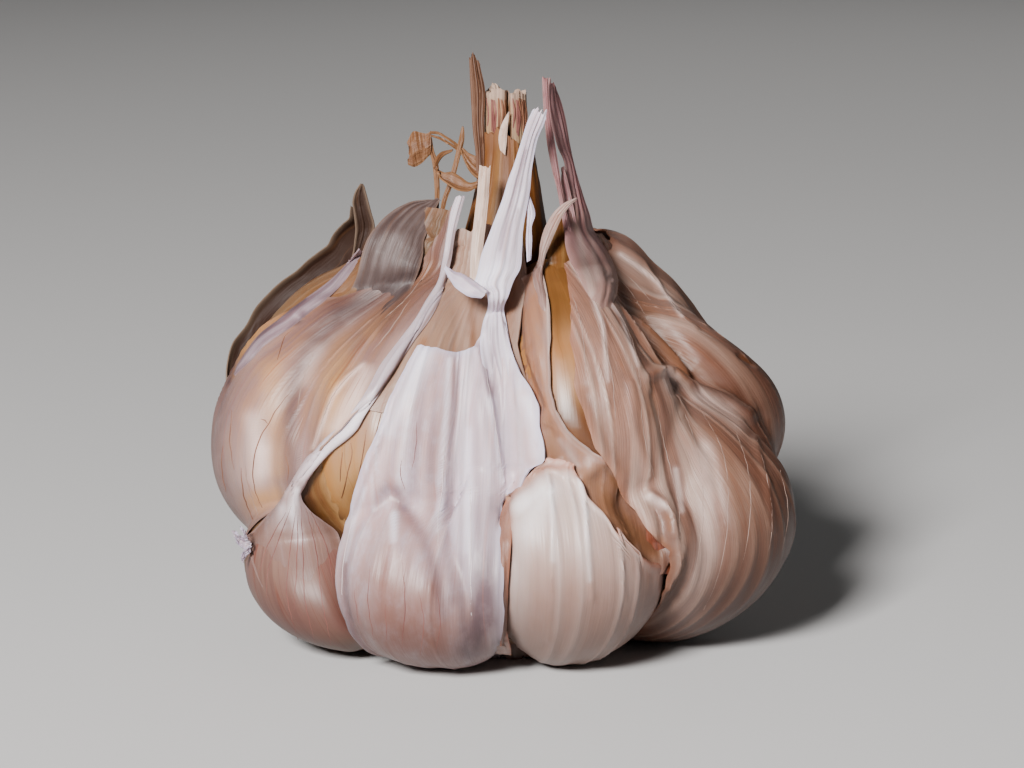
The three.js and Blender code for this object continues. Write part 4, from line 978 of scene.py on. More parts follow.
# ---- node trees: one class wraps an output and does arithmetic, the other adds any node
class Out:
    def __init__(self, nodes, socket):
        self.nodes, self.socket = nodes, socket

    def calc(self, operation, *values, clamp=False):
        return self.nodes.add("ShaderNodeMath", {"operation": operation, "use_clamp": clamp}, dict(enumerate(values)))

    def __add__(self, other):
        return self.calc("ADD", self, other)

    def __radd__(self, other):
        return self.calc("ADD", other, self)

    def __sub__(self, other):
        return self.calc("SUBTRACT", self, other)

    def __rsub__(self, other):
        return self.calc("SUBTRACT", other, self)

    def __mul__(self, other):
        return self.calc("MULTIPLY", self, other)

    def __rmul__(self, other):
        return self.calc("MULTIPLY", other, self)

    def __truediv__(self, other):
        return self.calc("DIVIDE", self, other)

    def __pow__(self, other):
        return self.calc("POWER", self, other)

    def clamped(self):
        return self.calc("ADD", self, 0.0, clamp=True)

    def absolute(self):
        return self.calc("ABSOLUTE", self)

    # 0 below start, 1 above end
    def ramped(self, start, end):
        values = {"Value": self, "From Min": start, "From Max": end, "To Min": 0.0, "To Max": 1.0}
        return self.nodes.add("ShaderNodeMapRange", {"interpolation_type": "SMOOTHSTEP"}, values)


class Nodes:
    def __init__(self, tree):
        self.tree = tree

    def add(self, kind, settings=None, values=None, out=0):
        node = self.tree.nodes.new(kind)
        for key, value in (settings or {}).items():
            setattr(node, key, value)
        for key, value in (values or {}).items():
            if isinstance(value, Out):
                self.tree.links.new(value.socket, node.inputs[key])
            else:
                node.inputs[key].default_value = value
        return Out(self, node.outputs[out])

    # mix of two colours, each a link or red, green and blue
    def mixed(self, factor, a, b, blend="MIX"):
        settings = {"data_type": "RGBA", "blend_type": blend, "clamp_factor": True}
        a, b = [colour if isinstance(colour, Out) else (*colour, 1.0) for colour in (a, b)]
        return self.add("ShaderNodeMix", settings, {0: factor, 6: a, 7: b}, out=2)

    def mask(self, name):
        return self.add("ShaderNodeAttribute", {"attribute_name": name}, out=2)

    # noise stretched by the scales, in cycles per unit of the vector
    def noise(self, vector, scales, offset=(0, 0, 0), detail=3.0, roughness=0.55):
        placed = self.add("ShaderNodeMapping", {}, {"Vector": vector, "Location": offset, "Scale": scales})
        values = {"Vector": placed, "Scale": 1.0, "Detail": detail, "Roughness": roughness}
        return self.add("ShaderNodeTexNoise", {}, values)


def newMaterial(name):
    material = bpy.data.materials.new(name)
    material.use_nodes = True
    tree = material.node_tree
    for node in list(tree.nodes):
        tree.nodes.remove(node)
    return material, Nodes(tree)


def finishMaterial(nodes, colour, roughness, height, look):
    normal = nodes.add("ShaderNodeBump", {}, {"Strength": look["bump"], "Distance": 0.0003, "Height": height})
    shader = nodes.add("ShaderNodeBsdfPrincipled", {}, {
        "Base Color": colour, "Roughness": roughness, "Normal": normal, "IOR": 1.45,
        "Subsurface Weight": look.get("soft", 0.0), "Subsurface Radius": (1.0, 0.5, 0.3), "Subsurface Scale": 0.0012,
        "Coat Weight": look.get("coat", 0.0), "Coat Roughness": 0.3, "Specular IOR Level": look.get("gloss", 0.5),
    })
    output = nodes.tree.nodes.new("ShaderNodeOutputMaterial")
    nodes.tree.links.new(shader.socket, output.inputs["Surface"])


# painted shade where the light falls off: darker towards the foot (partly also soil there), the far side and the tips;
# from and to give the height or the place across in metres
shadeAndSoil = {
    "low": {"axis": 2, "from": (0.0205, 0.004), "share": 0.85, "colour": (0.24, 0.185, 0.155)},
    "far": {"axis": 0, "from": (0.013, 0.026), "share": 0.68, "colour": (0.42, 0.32, 0.26)},
    "high": {"axis": 2, "from": (0.03, 0.044), "share": 0.0, "colour": (0.5, 0.4, 0.37)},
}


def paintShadeAndSoil(nodes, colour, look):
    place = nodes.add("ShaderNodeTexCoord", {}, out=3)
    for key, part in shadeAndSoil.items():
        where = nodes.add("ShaderNodeSeparateXYZ", {}, {"Vector": place}, out=part["axis"])
        share = where.ramped(*look.get(key + "From", part["from"])) * look.get(key + "Share", part["share"])
        colour = nodes.mixed(share, colour, part["colour"], "MULTIPLY")
    return colour


strokeShares = {"warm": 1.0, "dark": 1.0, "light": 0.9}


# dry skin: pale paper with a blush where it lies on a clove, long streaks, fine veins and a thin rim
def skinMaterial(name, look):
    look = {**commonSkin, **look}
    material, nodes = newMaterial(name)
    uv = nodes.add("ShaderNodeUVMap", {"uv_map": "skinMap"})
    offset = (look["seed"] * 3.7, look["seed"] * 1.9, 0)
    patches = nodes.noise(uv, (0.11, 0.06, 1), offset, detail=3.0)
    streaks = nodes.noise(uv, (1.3, 0.045, 1), offset, detail=4.0, roughness=0.6)
    fine = nodes.noise(uv, (5.5, 0.16, 1), offset, detail=3.0)
    mottle = nodes.noise(uv, (0.55, 0.3, 1), offset, detail=5.0, roughness=0.65)
    lines = nodes.noise(uv, (0.42, 0.016, 1), offset, detail=1.0, roughness=0.4)
    vein = 1 - ((lines - 0.5).absolute() / look["veinWidth"]).clamped()
    vein = vein * nodes.noise(uv, (0.2, 0.1, 1), offset, detail=2.0).ramped(0.42, 0.62)
    rib, rim = nodes.mask("rib"), nodes.mask("rim")
    colour = nodes.mixed(patches.ramped(0.35, 0.68), look["pale"], look["blush"])
    if "under" in look:
        under = nodes.mask("close") * mottle.ramped(0.25, 0.6) * look["underShare"]
        colour = nodes.mixed(under, colour, look["under"])
    colour = nodes.mixed(streaks.ramped(0.45, 0.72) * look["streakShare"], colour, look["streak"])
    colour = nodes.mixed(fine.ramped(0.5, 0.75) * look["fineShare"], colour, look["streak"])
    colour = nodes.mixed(rib * look["ribShare"], colour, look["rib"])
    grain = mottle.ramped(0.2, 0.6) * 0.35 + 0.65
    # the dark strokes mix in painted shade and dark lines, the light strokes painted highlights and pale ribs
    for key, share in strokeShares.items():
        if key in look:
            colour = nodes.mixed(nodes.mask(key) * grain * share, colour, look[key])
    colour = nodes.mixed(vein * look["veinShare"], colour, look["vein"])
    colour = nodes.mixed((rim ** 1.5) * look["rimShare"], colour, look["rim"])
    # painted shade towards the foot, the far side and the tips, partly also soil at the foot
    colour = paintShadeAndSoil(nodes, colour, look)
    roughness = look["roughness"] + (mottle - 0.5) * 0.25 + rim * 0.1
    height = streaks * 0.5 + fine * 0.35 + mottle * 0.3 + rib * 0.3
    finishMaterial(nodes, colour, roughness, height, look)
    return material


cloveShade = (0.07, 0.022, 0.006)


# clove skin: smooth and satin, streaked from foot to tip
def cloveMaterial(name, look):
    look = {**commonClove, **look}
    material, nodes = newMaterial(name)
    uv = nodes.add("ShaderNodeUVMap", {"uv_map": "skinMap"})
    offset = (look["seed"] * 5.3, look["seed"] * 2.1, 0)
    patches = nodes.noise(uv, (0.12, 0.07, 1), offset, detail=3.0)
    streaks = nodes.noise(uv, (0.7, 0.035, 1), offset, detail=4.0, roughness=0.6)
    fine = nodes.noise(uv, (3.2, 0.1, 1), offset, detail=3.0)
    lines = nodes.noise(uv, (0.3, 0.012, 1), offset, detail=1.0, roughness=0.4)
    vein = 1 - ((lines - 0.5).absolute() / look["veinWidth"]).clamped()
    height01 = nodes.mask("height")
    colour = nodes.mixed(patches.ramped(0.35, 0.68), look["pale"], look["blush"])
    colour = nodes.mixed(height01.ramped(*look["tipFrom"]) * look["tipShare"], colour, look["tip"])
    colour = nodes.mixed(height01.ramped(*look["footFrom"]) * look["footShare"], colour, look["foot"])
    colour = nodes.mixed(streaks.ramped(0.42, 0.7) * look["streakShare"], colour, look["streak"])
    colour = nodes.mixed(fine.ramped(0.5, 0.75) * look["fineShare"], colour, look["streak"])
    colour = nodes.mixed(vein * look["veinShare"], colour, look["vein"])
    colour = nodes.mixed(nodes.mask("dark") * 0.9, colour, cloveShade)
    # painted shade towards the foot, the far side and the tips, partly also soil at the foot
    colour = paintShadeAndSoil(nodes, colour, look)
    roughness = look["roughness"] + (fine - 0.5) * 0.12
    finishMaterial(nodes, colour, roughness, streaks * 0.4 + fine * 0.3, look)
    return material


# what most dry skins share, unless their own look says otherwise
commonSkin = {
    "streakShare": 0.5, "fineShare": 0.4, "ribShare": 0.4, "rimShare": 0.4, "veinShare": 0.4, "veinWidth": 0.02,
    "bump": 0.4, "soft": 0.0,
}
skinLooks = {
    "front": dict(
        seed=1, warm=(0.33, 0.165, 0.135), dark=(0.2, 0.132, 0.155), light=(0.87, 0.83, 0.95),
        pale=(0.64, 0.565, 0.65), blush=(0.55, 0.43, 0.47), under=(0.51, 0.263, 0.207), underShare=0.55,
        streak=(0.437, 0.311, 0.372), streakShare=0.35, fineShare=0.25, rib=(0.61, 0.56, 0.61), ribShare=0.5,
        vein=(0.431, 0.169, 0.126), veinShare=0.35, veinWidth=0.012, rim=(0.508, 0.508, 0.689), rimShare=0.5,
        roughness=0.42, bump=0.35, soft=0.12, farShare=0),
    "frontRight": dict(
        seed=2, warm=(0.27, 0.1, 0.05), dark=(0.199, 0.084, 0.053), light=(0.95, 0.88, 0.9), pale=(0.56, 0.42, 0.385),
        blush=(0.44, 0.29, 0.255), under=(0.5, 0.35, 0.28), underShare=0.3, streak=(0.36, 0.235, 0.2),
        streakShare=0.3, fineShare=0.15, rib=(0.62, 0.52, 0.5), ribShare=0.55, vein=(0.45, 0.192, 0.092),
        veinShare=0.2, veinWidth=0.01, rim=(0.367, 0.134, 0.075), rimShare=0.85, roughness=0.4, bump=0.3, soft=0.15),
    "tail": dict(
        seed=3, warm=(0.19, 0.085, 0.04), dark=(0.11, 0.032, 0.012), light=(0.41, 0.301, 0.266),
        pale=(0.25, 0.15, 0.13), blush=(0.26, 0.13, 0.085), under=(0.285, 0.113, 0.041), underShare=0.6,
        streak=(0.17, 0.085, 0.065), streakShare=0.4, fineShare=0.3, rib=(0.349, 0.239, 0.205),
        vein=(0.234, 0.069, 0.029), veinShare=0.5, veinWidth=0.015, rim=(0.383, 0.282, 0.257), rimShare=0.6,
        roughness=0.45, bump=0.35, soft=0.1),
    "inner": dict(
        seed=4, warm=(0.25, 0.09, 0.024), dark=(0.147, 0.054, 0.02), pale=(0.28, 0.175, 0.14),
        blush=(0.27, 0.155, 0.1), under=(0.27, 0.16, 0.105), underShare=0.4, streak=(0.25, 0.122, 0.077),
        fineShare=0.3, rib=(0.355, 0.256, 0.208), vein=(0.247, 0.079, 0.026), veinShare=0.5, veinWidth=0.015,
        rim=(0.349, 0.269, 0.236), roughness=0.45, bump=0.35, soft=0.1),
    "right": dict(
        seed=5, warm=(0.22, 0.08, 0.025), dark=(0.105, 0.046, 0.026), light=(0.85, 0.68, 0.64),
        pale=(0.2, 0.114, 0.088), blush=(0.19, 0.092, 0.062), under=(0.345, 0.164, 0.106), underShare=0.35,
        streak=(0.185, 0.092, 0.07), streakShare=0.55, fineShare=0.5, rib=(0.428, 0.3, 0.246), ribShare=0.75,
        vein=(0.277, 0.093, 0.04), veinShare=0.3, veinWidth=0.012, rim=(0.314, 0.132, 0.076), rimShare=0.6,
        roughness=0.46, bump=0.5, soft=0.08, highShare=0.5, farShare=0.85),
    "back": dict(
        seed=6, pale=(0.302, 0.195, 0.163), blush=(0.273, 0.146, 0.1), under=(0.314, 0.15, 0.09), underShare=0.3,
        streak=(0.231, 0.123, 0.1), streakShare=0.55, fineShare=0.5, rib=(0.36, 0.262, 0.221), ribShare=0.6,
        vein=(0.267, 0.09, 0.036), veinShare=0.45, veinWidth=0.014, rim=(0.295, 0.139, 0.079), rimShare=0.6,
        roughness=0.47, soft=0.08, highShare=0.4, farShare=0.85),
    "left": dict(
        seed=7, warm=(0.5, 0.25, 0.09), dark=(0.07, 0.04, 0.043), light=(0.85, 0.63, 0.57), pale=(0.25, 0.16, 0.155),
        blush=(0.3, 0.15, 0.1), under=(0.33, 0.17, 0.1), underShare=0.45, streak=(0.19, 0.115, 0.13), streakShare=0.6,
        fineShare=0.55, rib=(0.36, 0.265, 0.25), ribShare=0.5, vein=(0.292, 0.083, 0.028), veinShare=0.7,
        veinWidth=0.012, rim=(0.316, 0.201, 0.175), roughness=0.44, bump=0.5, soft=0.08, highShare=0.9,
        highFrom=(0.026, 0.038)),
    "shoulder": dict(
        seed=8, pale=(0.14, 0.08, 0.034), blush=(0.16, 0.066, 0.02), under=(0.2, 0.12, 0.08), underShare=0.2,
        streak=(0.289, 0.152, 0.085), fineShare=0.3, rib=(0.23, 0.165, 0.11), vein=(0.305, 0.088, 0.02),
        veinShare=0.6, veinWidth=0.014, rim=(0.307, 0.171, 0.095), roughness=0.46, soft=0.08, highShare=0.8),
    "hole": dict(
        seed=22, pale=(0.17, 0.034, 0.007), blush=(0.11, 0.018, 0.005), streak=(0.04, 0.008, 0.004), streakShare=0.6,
        fineShare=0.3, rib=(0.3, 0.08, 0.03), ribShare=0.2, vein=(0.1, 0.02, 0.01), rim=(0.3, 0.1, 0.05),
        rimShare=0.2, roughness=0.5, bump=0.3, soft=0.03),
    "gold": dict(
        seed=23, dark=(0.035, 0.011, 0.003), light=(0.4, 0.22, 0.085), pale=(0.2, 0.088, 0.025),
        blush=(0.14, 0.05, 0.009), streak=(0.09, 0.03, 0.006), streakShare=0.6, rib=(0.3, 0.17, 0.06), ribShare=0.3,
        vein=(0.1, 0.04, 0.01), rim=(0.2, 0.09, 0.03), rimShare=0.3, roughness=0.42, bump=0.35, soft=0.05),
    "seam": dict(
        seed=24, dark=(0.07, 0.04, 0.05), pale=(0.19, 0.135, 0.155), blush=(0.17, 0.1, 0.115),
        streak=(0.15, 0.09, 0.11), rib=(0.36, 0.29, 0.32), vein=(0.09, 0.045, 0.03), rim=(0.3, 0.2, 0.2),
        roughness=0.5, soft=0.05),
    "lobe": dict(
        seed=21, dark=(0.05, 0.034, 0.034), light=(0.16, 0.115, 0.11), pale=(0.06, 0.04, 0.037),
        blush=(0.07, 0.038, 0.03), streak=(0.055, 0.034, 0.03), streakShare=0.75, fineShare=0.65,
        rib=(0.16, 0.12, 0.115), vein=(0.09, 0.045, 0.03), veinShare=0.6, rim=(0.22, 0.14, 0.11), rimShare=0.6,
        roughness=0.5, bump=0.5, soft=0.03),
    "flap": dict(
        seed=9, pale=(0.022, 0.0095, 0.0055), blush=(0.022, 0.009, 0.005), streak=(0.022, 0.01, 0.007),
        rib=(0.06, 0.034, 0.024), vein=(0.08, 0.035, 0.015), veinShare=0.5, rim=(0.2, 0.14, 0.1), rimShare=0.6,
        roughness=0.55, bump=0.5, gloss=0.25),
    "whiteBlade": dict(
        seed=10, pale=(0.62, 0.54, 0.62), blush=(0.502, 0.385, 0.454), streak=(0.38, 0.288, 0.454), streakShare=0.6,
        rib=(0.599, 0.553, 0.599), vein=(0.438, 0.261, 0.317), veinShare=0.2, rim=(0.508, 0.486, 0.677), rimShare=0.5,
        roughness=0.42, soft=0.12, farShare=0),
    "strip": dict(
        seed=20, warm=(0.3, 0.18, 0.15), dark=(0.13, 0.06, 0.04), light=(0.92, 0.82, 0.86), pale=(0.5, 0.42, 0.46),
        blush=(0.42, 0.32, 0.34), streak=(0.32, 0.23, 0.27), rib=(0.54, 0.46, 0.5), vein=(0.3, 0.12, 0.1),
        veinShare=0.3, rim=(0.5, 0.44, 0.5), rimShare=0.12, roughness=0.42, soft=0.12, farShare=0),
    "creamBlade": dict(
        seed=11, pale=(0.51, 0.372, 0.293), blush=(0.49, 0.318, 0.241), streak=(0.42, 0.246, 0.171),
        rib=(0.559, 0.453, 0.392), vein=(0.42, 0.2, 0.111), veinShare=0.2, rim=(0.529, 0.423, 0.382), roughness=0.45,
        soft=0.1),
    "pinkShard": dict(
        seed=12, warm=(0.25, 0.15, 0.125), dark=(0.121, 0.044, 0.026), light=(0.367, 0.294, 0.259),
        pale=(0.24, 0.12, 0.127), blush=(0.23, 0.09, 0.1), streak=(0.14, 0.06, 0.055), rib=(0.2, 0.12, 0.11),
        vein=(0.184, 0.061, 0.037), veinShare=0.3, rim=(0.305, 0.178, 0.165), rimShare=0.5, roughness=0.46,
        soft=0.08),
    "brownShard": dict(
        seed=13, pale=(0.1, 0.045, 0.024), blush=(0.08, 0.03, 0.015), streak=(0.06, 0.02, 0.01), streakShare=0.9,
        fineShare=0.7, rib=(0.17, 0.095, 0.055), vein=(0.086, 0.032, 0.014), veinShare=0.6, veinWidth=0.03,
        rim=(0.177, 0.078, 0.042), roughness=0.55, bump=0.6),
    "tanStrand": dict(
        seed=14, pale=(0.15, 0.064, 0.025), blush=(0.12, 0.045, 0.015), streak=(0.08, 0.028, 0.01), streakShare=0.6,
        fineShare=0.5, rib=(0.19, 0.09, 0.04), vein=(0.122, 0.045, 0.017), veinWidth=0.03, rim=(0.245, 0.122, 0.05),
        roughness=0.52, bump=0.5),
    "neck": dict(
        seed=15, pale=(0.15, 0.055, 0.01), blush=(0.12, 0.038, 0.006), streak=(0.09, 0.028, 0.005), fineShare=0.35,
        rib=(0.22, 0.11, 0.03), vein=(0.152, 0.059, 0.019), rim=(0.169, 0.068, 0.028), rimShare=0.5, roughness=0.5,
        soft=0.05),
    "stem": dict(
        seed=16, pale=(0.342, 0.234, 0.139), blush=(0.288, 0.16, 0.077), streak=(0.146, 0.053, 0.026),
        streakShare=0.6, fineShare=0.5, rib=(0.376, 0.269, 0.188), vein=(0.147, 0.054, 0.02), veinShare=0.6,
        veinWidth=0.03, rim=(0.386, 0.28, 0.23), rimShare=0.6, roughness=0.65, bump=0.7),
}
skinFinish = {key: skinMaterial("dry skin " + key, look) for key, look in skinLooks.items()}

commonClove = {"tipFrom": (0.72, 1.0), "footFrom": (0.3, 0.0), "veinWidth": 0.012}
cloveLooks = {
    "low": dict(
        seed=1, pale=(0.33, 0.2, 0.158), blush=(0.285, 0.135, 0.112), tip=(0.29, 0.18, 0.175), tipShare=0.6,
        foot=(0.18, 0.105, 0.05), footShare=0.8, streak=(0.19, 0.08, 0.07), streakShare=0.55, fineShare=0.5,
        vein=(0.244, 0.05, 0.024), veinShare=0.6, roughness=0.46, bump=0.25, soft=0.1, coat=0),
    "inner": dict(
        seed=2, pale=(0.38, 0.2, 0.07), blush=(0.399, 0.166, 0.044), tip=(0.33, 0.2, 0.14), tipShare=1.0,
        tipFrom=(0.45, 0.7), foot=(0.313, 0.173, 0.046), footShare=0.5, streak=(0.362, 0.156, 0.035), streakShare=0.4,
        fineShare=0.4, vein=(0.262, 0.112, 0.015), veinShare=0.5, roughness=0.34, bump=0.2, soft=0.25, coat=0.1),
    # the inner right clove seen in its gap: its dark foot and tip are partly its own browner ends and partly painted
    # shade deep in the gap
    "gold": dict(
        seed=4, pale=(0.34, 0.19, 0.09), blush=(0.3, 0.13, 0.045), tip=(0.13, 0.052, 0.012), tipShare=1.0,
        tipFrom=(0.8, 0.9), foot=(0.1, 0.03, 0.006), footShare=0.9, footFrom=(0.74, 0.62), streak=(0.2, 0.08, 0.02),
        streakShare=0.4, fineShare=0.3, vein=(0.16, 0.06, 0.012), veinShare=0.4, roughness=0.36, bump=0.2, soft=0.1,
        coat=0.1),
    "hidden": dict(
        seed=3, pale=(0.33, 0.21, 0.13), blush=(0.337, 0.193, 0.145), tip=(0.337, 0.2, 0.123), tipShare=0.5,
        foot=(0.301, 0.192, 0.093), footShare=0.5, streak=(0.311, 0.157, 0.096), streakShare=0.4, fineShare=0.2,
        vein=(0.256, 0.098, 0.03), veinShare=0.4, roughness=0.38, bump=0.2, soft=0.15, coat=0.05),
}
cloveFinish = {key: cloveMaterial("clove skin " + key, look) for key, look in cloveLooks.items()}


# a finished piece: its material, the body it rides on and the nodes it stands for
def settle(thing, material, slot, *nodes):
    thing.data.materials.clear()
    thing.data.materials.append(material)
    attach(thing, "root")
    if nodes:
        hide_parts(*nodes)


for name, body in cloveBodies.items():
    key = {"clove_low_left": "low", "clove_inner_left": "inner", "clove_inner_right": "gold"}.get(name, "hidden")
    settle(body, cloveFinish[key], "clove", name)
settle(frontSkin, skinFinish["front"], "skin", "sheath_front")
settle(frontRightSkin, skinFinish["frontRight"], "skin", "sheath_front_right")
settle(tailSkin, skinFinish["tail"], "skin", "sheath_front_right_tail")
settle(innerSkin, skinFinish["inner"], "inner_skin", "sheath_inner_front")
settle(rightSkin, skinFinish["right"], "skin", "sheath_right")
settle(backSkin, skinFinish["back"], "skin", "sheath_back")
settle(shoulderSkin, skinFinish["shoulder"], "skin", "sheath_left")
settle(leftSkin, skinFinish["left"], "skin", "sheath_left")


# ---- dry blades at the neck, drawn by their two edges as they show in the view: (x, y) from bottom to top
# depth gives how far back they lie by the y of the view; further down they lie on the bulb or on the named sheets
def seenOn(px, py, names, lift, side="loose"):
    start = Vector(viewPlace)
    ray = Vector(behindPixel(px, py, 0.0)) - start
    hits = [treeOf(name).ray_cast(start, ray) for name in names]
    hits = [hit for hit in hits if hit[0] is not None]
    if not hits:
        return onBulb(px, py, lift, side)
    return np.array(min(hits, key=lambda hit: hit[3])[0]) + viewBack * lift


# what most blades share; mapAcross and mapUp lay the skin's pattern on them
commonBlade = {
    "lift": 0.2, "ease": 12, "smooth": 4, "pleat": 0.05, "pleats": 3, "wave": 0.08, "waves": 5, "arch": 0.15,
    "torn": 0.3, "tears": 5, "thickness": 0.14, "side": "loose", "mapAcross": 2.2, "mapUp": 20,
}


def makeBlade(name, spec):
    spec = {**commonBlade, **spec}
    v = np.linspace(0, 1, spec["rows"] + 1)
    u = np.linspace(0, 1, spec["columns"] + 1)
    leftPath, rightPath = throughRows(spec["left"], v), throughRows(spec["right"], v)
    lifts = spec.get("lifts", [(0, spec["lift"]), (1, spec["lift"])])
    leftLift, rightLift = along(lifts, v), along(spec.get("rightLifts", lifts), v)
    deeper = spec.get("rightDepth", spec["depth"])
    start = spec["depth"][-1][0]
    grid = np.zeros((len(v), len(u), 3))
    for i in range(len(v)):
        for j, share in enumerate(u):
            px, py = mix(leftPath[i], rightPath[i], share)
            onSheet = clampTo((py - start) / spec["ease"])
            if onSheet < 1:
                grid[i, j] = behindPixel(px, py, mix(along(spec["depth"], py), along(deeper, py), share))
            if onSheet > 0:
                raised = mix(leftLift[i], rightLift[i], share)
                place = seenOn(px, py, spec.get("on", []), raised, spec["side"])
                grid[i, j] = mix(grid[i, j], place, onSheet * onSheet * (3 - 2 * onSheet))
    front = grid @ viewBack
    if "span" in spec:
        first, last = [int(np.argmin(np.abs(leftPath[:, 1] - py))) for py in spec["span"]]
        share = np.linspace(0, 1, last - first + 1)[:, None]
        front[first:last + 1] = mix(front[first], front[last], share) + spec["bow"] * 4 * share * (1 - share)
    for _ in range(spec["smooth"]):
        padded = np.pad(front, 1, mode="edge")
        front = (padded[:-2, 1:-1] + padded[2:, 1:-1] + padded[1:-1, :-2] + padded[1:-1, 2:]) / 4
    grid = grid + viewBack * (front - grid @ viewBack)[..., None]
    normal = unit(np.cross(np.gradient(grid, axis=1), np.gradient(grid, axis=0)))
    width = np.linalg.norm(grid[:, -1] - grid[:, 0], axis=1)[:, None]
    middle = 4 * u * (1 - u)
    settled = smoothStep(v, 0, 0.12)[:, None] if "on" in spec else 1
    pleats = spec["pleat"] * np.sin(2 * math.pi * spec["pleats"] * u + spec["seed"]) * settled
    waves = spec["wave"] * roughNoise(u[None, :] * 2 + spec["seed"], v[:, None] * spec["waves"], spec["seed"], 3)
    arch = along(spec["arches"], v)[:, None] if "arches" in spec else spec["arch"]
    raised = arch * middle[None, :] * width + pleats * bump(u[None, :], 0.5, 0.55) + waves * settled
    grid = grid + normal * raised[..., None]
    end = smoothStep(v, 0.86, 1.0)[:, None] * spec["torn"]
    ragged = roughNoise(u[None, :] * spec["tears"], 0 * v[:, None], spec["seed"] + 5, 4)
    tangent = unit(np.gradient(grid, axis=0))
    grid = grid + tangent * (end * ragged)[..., None]
    across = (u[None, :] - 0.5) * width * spec["mapAcross"] + spec["seed"] * 3
    uv = np.stack([across, v[:, None] * spec["mapUp"] + 0 * u[None, :]], -1)
    rim = clampTo(1 - np.minimum(u, 1 - u)[None, :] * width / rimWidth["blade"]) + 0 * v[:, None]
    masks = {"rim": rim, "rib": 0 * rim + clampTo(np.sin(2 * math.pi * spec["pleats"] * u))[None, :]}
    if "warm" in spec:
        masks["warm"] = along(spec["warm"], v)[:, None] + 0 * rim
    # as on the skins, the dark strokes are partly painted shade in folds, gaps and along edges, and the light strokes
    # are partly painted highlights
    for key in ("light", "dark"):
        masks[key] = clampTo(strokesAt(spec.get(key, []), grid))
    return makeSheet(name, grid, spec["thickness"], uv, masks)


